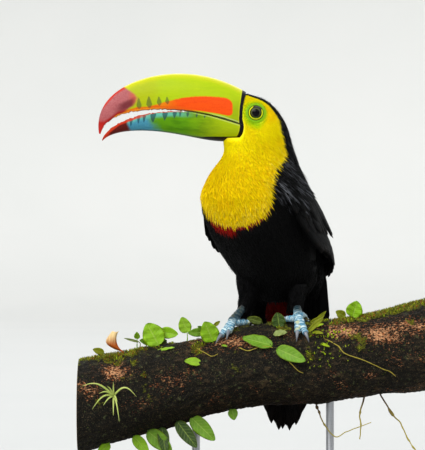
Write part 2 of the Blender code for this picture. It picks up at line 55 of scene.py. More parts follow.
BODY = np.array([
    (-35.0, 352.0, -12.0, 399.0, 90.0, 18.0, 0.0),
    (-34.5, 346.0, 10.7, 390.0, 90.0, 20.5, 0.0),
    (-34.5, 340.0, 27.0, 370.0, 90.0, 24.0, -2.0),
    (-38.0, 332.0, 35.5, 345.0, 73.0, 31.0, -1.0),
    (-51.0, 313.5, 46.0, 315.0, 53.0, 44.5, 1.0),
    (-57.5, 291.5, 56.0, 285.0, 37.0, 54.0, 6.0),
    (-46.3, 255.0, 60.5, 252.0, 31.0, 51.0, 14.0),
    (-26.5, 222.0, 59.5, 222.0, 27.0, 42.5, 24.0),
    (-3.0, 195.0, 45.0, 196.0, 25.0, 23.0, 35.0),
])
BODY_END = 8.0
VENT_DROP = 9.0
CULMEN = [(-13.0, 400.5), (-54.0, 424.0), (-95.5, 427.0), (-169.5, 411.0), (-158.7, 356.6)]
TOMIUM = [(-15.0, 366.7), (-60.7, 383.4), (-68.6, 379.5), (-149.2, 394.5), (-157.8, 356.8)]
LOWER_EDGE = [(-15.0, 366.0), (-60.6, 379.9), (-68.1, 387.0), (-147.4, 383.0), (-156.2, 351.2)]
GONYS = [(-18.0, 351.5), (-61.2, 346.6), (-65.4, 361.4), (-142.1, 370.7), (-156.0, 350.4)]
BILL_BASE = [(-11.5, 407.0), (-13.2, 397.6), (-15.8, 386.0), (-16.4, 374.0), (-14.8, 365.0),
             (-16.5, 357.0), (-21.0, 351.4), (-24.0, 344.0)]
CHIN_LEVEL = 353.2
BILL_BASE_WIDTH = 18.5
BILL_TIP_WIDTH = 1.2
BILL_ROOT = -0.07
EYE = (-2.4, 14.0, 378.6)
EYE_RADIUS = 7.2
WING_TOP = 3.95
WING_FRONT = (108.0, 106.0, 102.0, 95.0)
WING_BACK = (48.0, 30.0, 15.0, 8.0)
WING_TIP = (6.3, 6.75, 7.05, 6.85)
WING_LIFT = (2.4, 3.0, 5.5, 13.5, 18.5)
WING_THICK = (2.0, 2.4, 3.0, 3.6, 2.4)
WING_SHOULDER = 0.35
TAIL_YAW = 22.0
TAIL_Z = (224.0, 205.0, 174.0, 130.0, 87.0, 60.0)
TAIL_X = (46.0, 43.5, 41.0, 35.0, 29.0, 27.5)
TAIL_Y = (62.0, 65.0, 66.0, 65.0, 63.0, 62.0)
TAIL_HALF = (22.0, 27.0, 32.5, 29.0, 23.0, 20.5)
TAIL_CAMBER = 3.5
UNDERTAIL = [(18, 44, 206, 21, 13), (22, 50, 190, 22, 11), (26, 55, 170, 18, 7),
             (31, 58, 148, 9, 3)]
RUMP = [(40, 59, 239, 18, 10), (43, 69, 219, 20, 8.5), (43, 72.2, 196, 17, 6.5),
        (42, 72, 172, 9, 4)]
FLANK = [(46, 28, 248, 13, 12), (51, 36, 232, 15, 13), (54, 44, 214, 14, 12),
         (53, 50, 192, 9, 8)]       # black feathers between wing, flank and tail
LOWER_BACK = [(37, 46, 266, 14, 9), (42, 60.5, 247, 20, 12), (44, 68.5, 233, 18, 10),
              (44, 72.5, 220, 12, 6)]   # black feathers over the top of the white rump
VENT_TUFT = [(0, 36, 208, 15, 11), (-4, 40, 194, 16, 9), (-6, 43, 180, 15.5, 7),
             (-4, 47, 166, 14, 4)]    # loose feathers between the right leg and the undertail
THIGHS = {
    "right": [(-6, 20, 226, 16, 17), (-7, 18, 210, 15, 15), (-8.5, 17, 196, 11, 11),
              (-10, 16, 186, 7, 7)],
    "left": [(46, 16, 226, 14, 16), (45, 22, 210, 14, 15), (40, 26, 196, 11, 11),
             (37, 26, 186, 7, 7)],
}
KNEES = {                       # feathers that hang over the front of the shanks' tops
    "right": [(-8, 14, 204, 8, 8), (-8.5, 13, 197, 7.5, 8), (-10, 12, 190, 6.5, 7),
              (-12, 11, 184.5, 5.5, 6)],
    "left": [(41, 14, 208, 10, 13), (40, 12, 200, 9, 13), (39, 9.5, 192, 7.5, 12),
             (39, 8, 186.5, 6.5, 10.5)],
}
ANKLES = {
    "right": [(-8.0, 16.0, 188.0), (-16.5, 7.5, 181.5)],
    "left": [(37.5, 22.0, 187.0), (39.0, 3.0, 184.0)],
}
FOOT_JOINTS = {"right": (-26.0, 3.0), "left": (40.0, 20.0)}
TOE_ENDS = {
    "right": [(-37.0, 28.0), (-29.5, 26.5), (-9.5, -8.0), (-31.0, -40.0)],
    "left": [(46.5, 46.0), (38.5, 43.5), (28.0, 13.0), (48.0, -22.0)],
}
FOOT_HEIGHT = 7.6
SHANK_RADII = (4.1, 3.8, 4.9)
TOE_RADII = (4.3, 3.0)
TOE_PADS = 0.25
TOE_REST = 0.65
CLAW_LENGTH = 12.0
CLAW_RADII = (2.2, 0.35)
CLAW_ARCH = 1.1
CLAW_TIP_LIFT = 0.9
BRANCH = np.array([
    (-180, 84.0, 47.0), (-145, 93.0, 45.5), (-108, 102.5, 43.5), (-75, 110.0, 41.0),
    (-48, 116.5, 38.8), (-22, 123.5, 41.0), (7, 127.0, 41.0), (40, 129.0, 41.3),
    (69, 130.5, 41.5), (117, 138.5, 41.0), (150, 144.0, 44.0), (180, 150.0, 46.5),
], dtype=float)
BRANCH_LUMPS = 0.9
BASE_SIZE = (270.0, 180.0, 14.0)
BASE_CORNER = 26.0
BASE_EDGE = 3.0
ROD_X = (-62.0, 72.0)
ROD_RADIUS = 4.0


# ---------------- curves and surfaces

def unit(vectors):
    """Vectors scaled to length one."""
    return vectors / np.maximum(np.linalg.norm(vectors, axis=-1, keepdims=True), 1e-12)


def size(vectors):
    """Lengths of vectors."""
    return np.linalg.norm(vectors, axis=-1)


def vec(*parts):
    """Vectors from their parts on each axis."""
    return np.stack(np.broadcast_arrays(*parts), -1)


def join(*parts, axis=0):
    """Arrays one after another."""
    return np.concatenate(parts, axis)


def smooth(low, high, value):
    """0 below low, 1 above high, with an S-curve between; high may be the smaller one."""
    t = np.clip((np.asarray(value, float) - low) / (high - low), 0, 1)
    return t * t * (3 - 2 * t)


def spline(rows, t):
    """Catmull-Rom curve through evenly spaced rows; t counts rows and may be an array."""
    rows = np.asarray(rows, dtype=float)
    if rows.ndim == 1:
        rows = rows[:, None]
    ends = np.vstack([2 * rows[0] - rows[1], rows, 2 * rows[-1] - rows[-2]])
    t = np.asarray(t, dtype=float)
    i = np.clip(np.floor(t).astype(int), 0, len(rows) - 2)
    f = (t - i)[..., None]
    a, b, c, d = (ends[i + k] for k in range(4))
    return b + 0.5 * f * (c - a + f * (2 * a - 5 * b + 4 * c - d + f * (3 * (b - c) + d - a)))


def along(values, u):
    """One number read from evenly spaced values, u from 0 at the first to 1 at the last."""
    return spline(values, np.asarray(u) * (len(values) - 1))[..., 0]


def bezier(handles, t):
    """Points of the Bezier curve with these handles."""
    t = np.asarray(t, dtype=float)[..., None]
    n = len(handles) - 1
    return sum(math.comb(n, k) * t**k * (1 - t)**(n - k) * np.array(handle)
        for k, handle in enumerate(handles))


def floats(*values):
    """Arrays of one shape from numbers and arrays."""
    return np.broadcast_arrays(*(np.asarray(value, float) for value in values))


def yaw_axes(yaw):
    """Unit vectors to the bird's back and to its left for a section turned by yaw."""
    a = np.radians(yaw)
    return vec(np.sin(a), np.cos(a), 0.0), vec(np.cos(a), -np.sin(a), 0.0)


def ring(count, whole=2 * np.pi):
    """Even steps once round."""
    return np.linspace(0, whole, count, endpoint=False)


def body_point(station, angle, lift=0.0):
    """Point of the body's surface: a tilted ellipse at each station, raised by lift."""
    station, angle, lift = floats(station, angle, lift)
    belly_x, belly_z, back_x, back_z, yaw, width, y = np.moveaxis(spline(BODY, station), -1, 0)
    back, left = yaw_axes(yaw)
    chord = np.hypot(back_x - belly_x, back_z - belly_z)
    tilt = np.arctan2(back_z - belly_z, back_x - belly_x)[..., None]
    turn, a = np.radians(yaw), np.radians(angle)
    depth = np.sqrt((chord / 2)**2 - (width * np.cos(turn))**2) / np.sin(turn)
    back = back * np.cos(tilt) + np.array([0.0, 0.0, 1.0]) * np.sin(tilt)
    centre = vec((belly_x + back_x) / 2, y, (belly_z + back_z) / 2)
    return (centre + back * ((depth + lift) * np.cos(a))[..., None]
        + left * ((width + lift) * np.sin(a))[..., None])


def branch_line(x):
    """Height of the branch's middle and its radius at x."""
    place = np.interp(x, BRANCH[:, 0], np.arange(len(BRANCH)))
    return np.moveaxis(spline(BRANCH[:, 1:], place), -1, 0)


def branch_point(x, angle, lift=0.0):
    """Point on the branch's bark; angle 0 is its top line and 90 faces the front."""
    x, angle, lift = floats(x, angle, lift)
    a = np.radians(angle)
    height, radius = branch_line(x)
    lumps = np.sin(x / 17.0 + 2 * a) + np.sin(x / 29.0 - 3 * a + 1.0) + np.sin(5 * a + x / 41.0)
    radius = radius + BRANCH_LUMPS * lumps / 2 + lift
    return vec(x, -radius * np.sin(a), height + radius * np.cos(a))


def wing_point(side, u, v, lift=0.0):
    """Point over a folded wing: u from shoulder to feather tips, v from front to back edge."""
    u, v, lift = floats(u, v, lift)
    front, back = along(WING_FRONT, u), along(WING_BACK, u)
    station = (WING_TOP + (along(WING_TIP, v) - WING_TOP) * u
               + WING_SHOULDER * (1 - u) * (2 * v - 1)**2)
    height = np.clip((station - WING_TOP) / (max(WING_TIP) - WING_TOP), 0, 1.1)
    sign = 1 if side == "left" else -1
    angle = sign * (front + (back - front) * v)
    return body_point(station, angle, along(WING_LIFT, height) + lift)


def tail_point(u, v, lift=0.0):
    """Point over the tail: u from root to end, v across from -1 to 1, lift toward the back."""
    u, v, lift = floats(u, v, lift)
    z = TAIL_Z[0] + (TAIL_Z[-1] - TAIL_Z[0]) * u
    place = np.interp(-z, -np.array(TAIL_Z), np.arange(len(TAIL_Z)))
    x, y, half = (spline(row, place)[..., 0] for row in (TAIL_X, TAIL_Y, TAIL_HALF))
    back, left = yaw_axes(TAIL_YAW)
    return (vec(x, y, z) + left * (half * v)[..., None] + back * (lift - TAIL_CAMBER * v**2)[...,
        None])


def lobe_point(rows, u, angle, lift=0.0):
    """Point of a tapering lobe of level ellipses (thigh, rump, undertail); u from top to end."""
    u, angle, lift = floats(u, angle, lift)
    x, y, z, width, depth = np.moveaxis(spline(rows, u * (len(rows) - 1)), -1, 0)
    back, left = yaw_axes(TAIL_YAW)
    a = np.radians(angle)
    return (vec(x, y, z) + left * ((width + lift) * np.sin(a))[..., None]
            + back * ((depth + lift) * np.cos(a))[..., None])


def lattice(i, j, k, seed):
    """A number from 0 to 1 for each whole-number place, scrambled from its three numbers."""
    h = (i * 374761393 + j * 668265263 + k * 1274126177 + seed * 974634777) & 0xffffffff
    h = ((h ^ (h >> 13)) * 1103515245) & 0xffffffff
    h = ((h ^ (h >> 16)) * 2246822519) & 0xffffffff
    return ((h >> 8) & 0xffff) / 65535.0


NOISE_TURN = np.array([[0.36, 0.48, -0.8], [-0.8, 0.6, 0.0], [0.48, 0.64, 0.6]])


def noise(points, scale, seed=0, octaves=1):
    """Smooth noise from -1 to 1: S-curves between turned lattice values, each octave half."""
    total, weight = 0.0, 0.0
    for octave in range(octaves):
        p = np.asarray(points, float) @ NOISE_TURN / scale * 2**octave + 17.31 * octave
        cell = np.floor(p).astype(np.int64)
        f = p - cell
        f = f * f * (3 - 2 * f)
        value = 0.0
        for corner in np.ndindex(2, 2, 2):
            a, b, c = (f[..., k] if corner[2 - k] else 1 - f[..., k] for k in range(3))
            i, j, k = (cell[..., k] + corner[2 - k] for k in range(3))
            value = value + a * b * c * lattice(i, j, k, seed + octave)
        total = total + (2 * value - 1) * 0.5**octave
        weight += 0.5**octave
    return total / weight


def srgb(red, green, blue):
    """A colour as shaders want it from the 0 to 255 values of a screen."""
    c = np.array([red, green, blue], float) / 255
    return np.where(c < 0.04045, c / 12.92, ((c + 0.055) / 1.055)**2.4)


def blend(share, first, second):
    """Colours from first to second by share, one row each."""
    share = np.asarray(share)[..., None]
    return first * (1 - share) + second * share


# ---------------- pieces

def placed(name, data):
    """A new object of the scene."""
    made = bpy.data.objects.new(name, data)
    bpy.context.scene.collection.objects.link(made)
    return made


def piece(name, points, faces, finish, slot, replaces=(), tint=None, values=None, patch=None):
    """A mesh object riding on the root body, from points in millimetres and arrays of faces.

    tint gives a colour and values named numbers for each point; patch gives each point's place on
    the unwrapped skin, as the UV map OFBake.  The faces are turned to point outward as a whole.
    """
    points = np.asarray(points, float).reshape(-1, 3)
    volume = 0.0
    for f in faces:
        for k in range(1, f.shape[1] - 1):
            a, b, c = points[f[:, 0]], points[f[:, k]], points[f[:, k + 1]]
            volume += float((a * np.cross(b, c)).sum())
    if volume < 0:
        faces = [f[:, ::-1] for f in faces]
    corners = join(*[f.ravel() for f in faces]).astype(np.int32)
    sides = join(*[np.full(len(f), f.shape[1], np.int32) for f in faces])
    starts = join([0], np.cumsum(sides)[:-1]).astype(np.int32)
    mesh = bpy.data.meshes.new(name)
    mesh.vertices.add(len(points))
    mesh.vertices.foreach_set("co", (points * MM).astype(np.float32).ravel())
    mesh.loops.add(len(corners))
    mesh.loops.foreach_set("vertex_index", corners)
    mesh.polygons.add(len(sides))
    mesh.polygons.foreach_set("loop_start", starts)
    mesh.update(calc_edges=True)
    mesh.shade_smooth()
    made = placed(name, mesh)
    dress(made, finish, tint, values)
    if patch is not None:
        layer = mesh.uv_layers.new(name="OFBake")
        layer.data.foreach_set("uv", patch[corners].astype(np.float32).ravel())
    return ride(made, replaces)


def dress(made, finish, tint=None, values=None):
    """Gives an object its finish and its attributes."""
    made.data.materials.clear()
    made.data.materials.append(finish)
    rows = [(key, "FLOAT", "value", numbers) for key, numbers in (values or {}).items()]
    if tint is not None:
        colours = join(np.clip(tint, 0, 1), np.ones((len(tint), 1)), axis=1)
        rows.insert(0, ("tint", "FLOAT_COLOR", "color", colours))
    for key, kind, part, numbers in rows:
        layer = made.data.attributes.new(key, kind, "POINT")
        layer.data.foreach_set(part, np.asarray(numbers, np.float32).ravel())


def ride(made, replaces=()):
    """Binds an object to the root body and hides the solids that it stands for."""
    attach(made, "root")
    if replaces:
        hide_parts(*replaces)
    return made


def loop_quads(rows, sides, count):
    """Faces between each of rows loops of sides points and the next of count, the first after the
    last."""
    i, j = np.meshgrid(np.arange(rows), np.arange(sides), indexing="ij")
    here, there, after = i * sides, (i + 1) % count * sides, (j + 1) % sides
    return vec(here + j, here + after, there + after, there + j).reshape(-1, 4)


def sweep(rings, first=None, last=None):
    """Closed tubes, many at once: rings is (tubes, rings, sides, 3), first and last the points
    that close their ends, or the middles of the end rings where none are given."""
    rings = np.asarray(rings, float)
    if rings.ndim == 3:
        rings = rings[None]
    if first is None:
        first, last = rings[:, 0].mean(axis=1), rings[:, -1].mean(axis=1)
    tubes, count, sides = rings.shape[:3]
    each = count * sides + 2
    points = join(first[:, None], rings.reshape(tubes, -1, 3), last[:, None], axis=1)
    j = np.arange(sides)
    after, end = (j + 1) % sides, each - 1 - sides
    tips = join(vec(0 * j, 1 + after, 1 + j),
                           vec(0 * j + each - 1, end + j, end + after))
    offset = (np.arange(tubes) * each)[:, None, None]
    return points.reshape(-1, 3), [(offset + faces).reshape(-1, faces.shape[1])
                                   for faces in (tips, 1 + loop_quads(count - 1, sides, count))]


def merge(*parts):
    """Several (points, faces) as one, with every face array kept."""
    points, faces, offset = [], [], 0
    for part_points, part_faces in parts:
        points.append(part_points)
        faces += [np.asarray(f) + offset for f in part_faces]
        offset += len(part_points)
    return np.concatenate(points), faces


def tube(path, radii, sides, flat=1.0, start=0.0):
    """Round rings across one path (rings, sides, 3), from angle start; flat squashes them."""
    path = np.asarray(path, dtype=float)
    tangent = unit(np.gradient(path, axis=0))
    up = unit(np.array([0.0, 0.0, 1.0]) - tangent * tangent[:, 2:3] + np.array([0.0, 1e-3, 0.0]))
    side = np.cross(tangent, up)
    turn = ring(sides) + start
    radii = np.broadcast_to(np.asarray(radii, float), (len(path),))[:, None, None]
    return path[:, None] + radii * (side[:, None] * np.cos(turn)[None, :, None]
                                    + up[:, None] * (flat * np.sin(turn))[None, :, None])


# ---------------- feathers

TUFT = ((-1.0, 0.0), (0.0, 1.0), (1.0, 0.0))                    # section: across, up
VANE = ((-1.0, 0.0), (-0.12, 0.75), (0.12, 0.75), (1.0, 0.0), (0.0, -0.4))


SCATTER_GRID = (160, 180)       # rows and columns of cells whose areas scatter adds up
SCATTER_STEP = 0.004            # step in p or q that measures a cell's area


def spread(count, seed=0):
    """Evenly scattered pairs from 0 to 1: multiples of the plastic number's powers, shaken."""
    g = 1.32471795724474602596
    i = np.arange(1, count + 1)[:, None]
    shake = np.random.default_rng(900 + seed).normal(0, 0.3 / math.sqrt(max(count, 1)), (count, 2))
    return (0.5 + seed * 0.137 + i * np.array([[1 / g, 1 / g**2]]) + shake) % 1.0


def scatter(surface, p_range, q_range, density, keep, seed=0):
    """Places on surface(p, q), density(p, q) of them to the square millimetre, where keep says.

    Even pairs (a, b) are bent so that equal steps cover equal shares of area times density: a
    along p, over the sums of the grid's rows, then b along q within the row.
    """
    rows, columns = SCATTER_GRID
    edge_p, edge_q = np.linspace(*p_range, rows + 1), np.linspace(*q_range, columns + 1)
    p, q = (edge_p[1:, None] + edge_p[:-1, None]) / 2, (edge_q[None, 1:] + edge_q[None, :-1]) / 2
    here, step = surface(p, q), SCATTER_STEP
    area = size(np.cross(surface(p + step, q) - here, surface(p, q + step) - here)) / step**2
    weight = area * density(p, q) * (edge_p[1] - edge_p[0]) * (edge_q[1] - edge_q[0]) + 1e-9
    a, b = spread(int(weight.sum()), seed).T
    total = join([0.0], np.cumsum(weight.sum(1)))
    p = np.interp(a, total / total[-1], edge_p)
    row = np.clip(np.searchsorted(edge_p, p) - 1, 0, rows - 1)
    sums = np.cumsum(weight, 1) / weight.sum(1, keepdims=True)
    sums = join(np.zeros((rows, 1)), sums, axis=1) + 2.0 * np.arange(rows)[:, None]
    column = np.searchsorted(sums.ravel(), b + 2.0 * row) - row * (columns + 1)
    column = np.clip(column, 1, columns)
    low, high = sums[row, column - 1], sums[row, column]
    share = (b + 2.0 * row - low) / (high - low)
    q = edge_q[column - 1] + share * (edge_q[1] - edge_q[0])
    chosen = keep(p, q)
    return p[chosen], q[chosen]


def feathers(surface, p, q, length, width, thick, low, high, turn=0.0, section=TUFT,
             places=(0.3, 0.7), widths=(1.0, 0.7)):
    """Closed feathers that lie down a surface from their roots.

    Each one's middle line steps from (p, q) down the surface, turned sideways by turn, rising from
    low to high above it; rings of the section stand across it at places along its length, with
    the given widths, and a point closes each end.  Returns points, faces and each point's share of
    the length and its feather's number.
    """
    count, roots = len(p), (p, q)
    length, width, thick, low, high, turn = (np.broadcast_to(np.asarray(v, float), count)
                                             for v in (length, width, thick, low, high, turn))
    middle, normal, reached = [], [], 0.0
    for share in (0.0, *places, 1.0):
        here = surface(p, q)
        down = size(surface(p + 0.01, q) - here) / 0.01
        around = size(surface(p, q + 0.01) - here) / 0.01
        distance = (share - reached) * length
        p = p + distance * np.cos(turn) / np.maximum(down, 0.5)
        q = q + distance * np.sin(turn) / np.maximum(around, 0.05)
        lift = low + (high - low) * share**0.8
        point = surface(p, q, lift)
        normal.append(unit(surface(p, q, lift + 1.0) - point))
        middle.append(point)
        reached = share
    middle, normal = np.stack(middle, 1), np.stack(normal, 1)
    tangent = unit(np.gradient(middle, axis=1))
    side = unit(np.cross(tangent, normal))
    up = np.cross(side, tangent)
    section, widths = np.array(section), np.array(widths)[None]
    across, rise = ((widths * reach[:, None])[..., None, None] for reach in (width, thick))
    rings = (middle[:, 1:-1, None] + side[:, 1:-1, None] * across * section[:, 0, None]
             + up[:, 1:-1, None] * rise * section[:, 1, None])
    points, faces = sweep(rings, middle[:, 0], middle[:, -1])
    share = with_ends(0.0, np.repeat(places, len(section)), 1.0)
    lateral = with_ends(0.0, np.tile(section[:, 0], len(places)), 0.0)
    return dict(points=points, faces=faces, share=np.tile(share, count),
                lateral=np.tile(lateral, count), number=np.repeat(np.arange(count), len(share)),
                p=roots[0], q=roots[1])


PATCH = 0.003                   # width of a feather's patch on the unwrapped skin


def with_ends(first, rows, last):
    """Values of a swept piece's points: its first end, its rings in turn and its last end."""
    return join([first], np.ravel(rows), [last])


def lay(name, coat, finish, tint, unwrap, replaces=(), extra=None, root_shade=0.25, seed=3):
    """Makes a piece of feathers: tint is a colour for each, darkened toward the root as painted
    shade deep in the coat.
    """
    number, share = coat["number"], coat["share"]
    # painted shade: each feather's colour falls off from its tip to its root
    shade_factor = (1 - root_shade) + root_shade * share
    vary = 1 + np.random.default_rng(seed).normal(0, 0.07, (len(coat["p"]), 1))
    colour = (tint * vary)[number] * shade_factor[:, None]
    home = unwrap(coat["p"], coat["q"])[number]
    patch = home + PATCH / 2 * vec(coat["lateral"], 2 * share - 1)
    points, faces = coat["points"], coat["faces"]
    values = {"share": share, "across": coat["lateral"]}
    if extra is not None:
        more, more_tint, more_place = extra
        points, faces = merge((points, faces), more)
        count = len(more[0])
        colour = join(colour, np.tile(more_tint, (count, 1)))
        patch = join(patch, np.tile([more_place], (count, 1)))
        for key, fill in (("share", 0.3), ("across", 0.0)):
            values[key] = join(values[key], np.full(count, fill))
    return piece(name, points, faces, finish, "plumage", replaces, colour, values, patch)


def skin_unwrap(p, q):
    """Place on the unwrapped skin: round the body across, down it upward."""
    return vec((q % 360) / 360 * 0.98 + 0.01, 0.02 + p / 9.0 * 0.96)


def lobe_unwrap(column):
    """Places for a small lobe's feathers, in a column of their own."""
    return lambda p, q: vec((column + 0.05 + 0.9 * (q % 360) / 360) / 4, 0.1 + 0.8 * p)


# ---------------- markings

LEMON = srgb(255, 234, 0)
GOLD = srgb(255, 220, 0)
AMBER = srgb(250, 176, 0)
LIME_SKIN = srgb(176, 222, 4)
GREEN_SKIN = srgb(124, 184, 2)
BLACK = srgb(11, 11, 12)
# grey of the painted sheen on black feathers
SHEEN = srgb(98, 100, 106)
BAND_RED = srgb(150, 16, 8)
UNDERTAIL_RED = srgb(150, 18, 10)
RUMP_WHITE = srgb(236, 232, 214)

BIB_MIDDLE = 176.0              # angle of the bib's middle line
BIB_EDGE = np.array([           # distance in angle from the middle line, station of the edge
    (0, 5.75), (14, 5.71), (28, 5.58), (40, 5.41), (49, 5.07), (61, 4.51), (74.5, 4.07),
    (86, 3.69), (106, 3.44), (120, 3.21), (128.5, 2.78), (137, 2.29), (148, 1.83), (152.5, 1.1),
    (154.5, 0.4), (157, 0.0), (180, -1.2)])
BAND_EDGE = np.array([          # signed angle from the middle line, station of the red's edge
    (-180, -2.0), (-60, 4.74), (-46, 5.3), (-38.5, 5.5), (-28, 5.67), (-18, 5.79), (-7.5, 5.88),
    (7, 5.97), (15.5, 5.97), (23, 5.89), (32, 5.79), (37.5, 5.6), (46, 5.2), (180, -2.0)])


def off_middle(q):
    """Signed angle from the bib's middle line, positive to the bird's right."""
    return (np.asarray(q) - BIB_MIDDLE + 180) % 360 - 180


def bib_room(p, q):
    """How far inside the yellow a place is, in stations; negative outside it."""
    return np.interp(np.abs(off_middle(q)), *BIB_EDGE.T) - p


def band_room(p, q):
    """How far inside the red band's lower edge a place is."""
    return np.interp(off_middle(q), *BAND_EDGE.T) - p


def eye_reach(points):
    """Distance from the eye's axis."""
    return np.hypot(points[..., 0] - EYE[0], points[..., 2] - EYE[2])


def markings(p, q):
    """The coat's colour: yellow face and bib, green round the eye, red band, black elsewhere."""
    points = body_point(p, q)
    reach, (x, _, z) = eye_reach(points), np.moveaxis(points, -1, 0)
    yellow = blend(smooth(1.6, 4.2, p), LEMON, GOLD)
    lores = smooth(17, 11, reach) * smooth(394, 388, z) * smooth(7, -2, x)
    for share, colour in ((0.3 * smooth(11, 5, np.hypot(x - 10.5, (z - 379.5) * 0.9)), AMBER),
                          (0.25 * smooth(0.0, 1.0, noise(points, 16.0, 5, 2)), AMBER),
                          (0.8 * lores, LIME_SKIN), (smooth(11.8, 8.8, reach), GREEN_SKIN)):
        yellow = blend(share, yellow, colour)
    room = bib_room(p, q)
    colour = blend(smooth(-0.03, 0.03, room), BLACK, yellow)
    red = smooth(-0.06, 0.06, band_room(p, q)) * smooth(0.02, -0.04, room)
    return blend(red * smooth(4.9, 5.3, p), colour, BAND_RED)


# ---------------- finishes

def joins(operation):
    """A method that adds a Math node of this value and another one."""
    return lambda self, other: self.maths(operation, self, other)


class Shade:
    """A value in a material; operators add Math nodes and node() adds any other node."""

    def __init__(self, tree, socket=None):
        self.tree, self.socket = tree, socket

    def node(self, kind, settings=None, inputs=None, output=0):
        """Adds a node: its settings first, then the values or links of its sockets."""
        made = self.tree.nodes.new("ShaderNode" + kind)
        for key, value in (settings or {}).items():
            if key == "stops":
                stops = made.color_ramp.elements
                while len(stops) < len(value):
                    stops.new(0.5)
                for stop, (place, height) in zip(stops, value):
                    stop.position, stop.color = place, (height,) * 3 + (1.0,)
            else:
                setattr(made, key, value)
        for key, value in (inputs or {}).items():
            socket = made.inputs[key]
            if isinstance(value, Shade):
                self.tree.links.new(value.socket, socket)
            else:
                is_colour = np.ndim(value) and socket.type == "RGBA"
                socket.default_value = (*value, 1.0) if is_colour else value
        return Shade(self.tree, made.outputs[output])

    def maths(self, operation, *values):
        """A Math node of these values."""
        return self.node("Math", {"operation": operation}, dict(enumerate(values)))

    __add__ = __radd__ = joins("ADD")
    __mul__ = __rmul__ = joins("MULTIPLY")
    __sub__, __truediv__, __pow__ = joins("SUBTRACT"), joins("DIVIDE"), joins("POWER")
    most, least = joins("MAXIMUM"), joins("MINIMUM")

    def __rsub__(self, other):
        return self.maths("SUBTRACT", other, self)

    def __neg__(self):
        return self * -1.0

    def __abs__(self):
        return self.maths("ABSOLUTE", self)

    def wave(self):
        """Sine of this value, from 0 to 1."""
        return self.maths("SINE", self) * 0.5 + 0.5

    def rise(self, low, high):
        """0 below low and 1 above high with an S-curve between."""
        if low > high:
            return 1.0 - self.rise(high, low)
        return self.node("MapRange", {"interpolation_type": "SMOOTHSTEP"},
            {"Value": self, "From Min": low, "From Max": high})

    def mix(self, first, second):
        """Colour from first to second by this share; a tuple is a screen's 0 to 255 values."""
        first, second = (srgb(*c) if isinstance(c, tuple) else c for c in (first, second))
        return self.node("Mix", {"data_type": "RGBA"}, {0: self, 6: first, 7: second}, 2)

    def curve(self, points):
        """The height of a line through points (place, height) at this value."""
        points = np.array(sorted(map(tuple, points)))
        (x0, low), (x1, high) = points.min(axis=0).tolist(), points.max(axis=0).tolist()
        stops = (points - (x0, low)) / (x1 - x0, high - low)
        ramp = self.node("ValToRGB", {"stops": stops.tolist()}, {"Fac": (self - x0) / (x1 - x0)})
        return ramp * (high - low) + low


class Finish(Shade):
    """A material with one Principled shader and the inputs that its patterns start from."""

    def __init__(self, name, **constants):
        self.material = bpy.data.materials.new(name)
        self.material.use_nodes = True
        super().__init__(self.material.node_tree)
        self.shader = self.tree.nodes["Principled BSDF"]
        for key, value in constants.items():
            self.shader.inputs[key.replace("_", " ")].default_value = value
        self.place = self.node("TexCoord", output=3)

    def axes(self):
        """Object X, Y and Z in millimetres."""
        parts = [self.node("SeparateXYZ", None, {0: self.place}, k) for k in range(3)]
        return [part * 1000.0 for part in parts]

    def attribute(self, name, output=2):
        """A mesh attribute as a number, or as a colour with output 0."""
        return self.node("Attribute", {"attribute_name": name}, output=output)

    def stretched(self, x, y, z):
        """Object coordinates in millimetres, divided by a pattern size on each axis."""
        return self.node("Mapping", None, {0: self.place, 3: (1000 / x, 1000 / y, 1000 / z)})

    def noise(self, scale, detail=2.0, roughness=0.5, place=None):
        """Noise from 0 to 1, with features scale millimetres wide, or as place is stretched."""
        return self.node("TexNoise", None, {"Vector": self.place if place is None else place,
            "Scale": 1000.0 / scale if place is None else 1.0, "Detail": detail, "Roughness":
            roughness})

    def scaled(self, colour, value):
        """A colour multiplied by a value."""
        return self.node("VectorMath", {"operation": "SCALE"}, {0: colour, 3: value})

    def paint(self, share, colour):
        """Lays a colour over the one so far, by share."""
        self.colour = share.mix(self.colour, colour)

    def done(self, colour, rough, height=None, relief=0.0):
        """Links colour, roughness and a bump of height, relief millimetres for a height of one."""
        links = {"Base Color": colour, "Roughness": rough}
        if height is not None:
            links["Normal"] = self.node("Bump", None, {"Height": height, "Distance": relief * MM,
                "Strength": 1.0})
        for key, value in links.items():
            self.tree.links.new(value.socket, self.shader.inputs[key])
        return self.material


def plumage(name, roughness, relief, sheen=0.0):
    """Feathers: the tint with soft mottling, fine barbs as bump and a dry or silky surface."""
    f = Finish(name, Sheen_Weight=sheen, Sheen_Roughness=0.4, Specular_IOR_Level=0.07)
    mottle = f.noise(5.0, 3.0) * 0.24 + 0.9
    return f.done(f.scaled(f.attribute("tint", 0), mottle),
                  roughness + 0.2 * (f.noise(3.0) - 0.5), f.noise(0.5, 2.0, 0.6), relief)


def vane_plumage(name):
    """Flight feathers: black vanes whose shaft and edges are painted lighter as sheen, with barbs
    slanting off the shaft.
    """
    f = Finish(name, Specular_IOR_Level=0.04)
    tint, share, across = f.attribute("tint", 0), f.attribute("share"), f.attribute("across")
    barbs = ((share * 60.0 - abs(across) * 9.0) * 6.2832).wave()
    shaft, edge = abs(across).rise(0.16, 0.05), abs(across).rise(0.7, 1.0)
    gloss = f.noise(9.0, 3.0)
    # painted sheen: the shaft and the vane edges are painted lighter
    colour = f.scaled(tint, 0.5 + 0.4 * gloss + 0.5 * shaft + 0.7 * edge)
    return f.done((share.rise(0.8, 1.0) * 0.4).mix(colour, (30, 21, 16)), 0.42 + 0.22 * gloss,
                  barbs + shaft * 2.0, 0.12)


def skin_finish():
    """Skin under the coat, scaly on the legs: the tint, mottled, with fine pebbling."""
    f = Finish("skin", Specular_IOR_Level=0.25)
    pebbles = f.node("TexVoronoi", {"feature": "F1"}, {"Vector": f.place, "Scale": 1000 / 0.9})
    mottle = f.noise(1.6, 4.0, 0.65)
    return f.done(f.scaled(f.attribute("tint", 0), 0.7 + 0.6 * mottle),
                  0.62 - 0.3 * f.attribute("scaly"), pebbles + mottle, 0.2)


# ---------------- bill

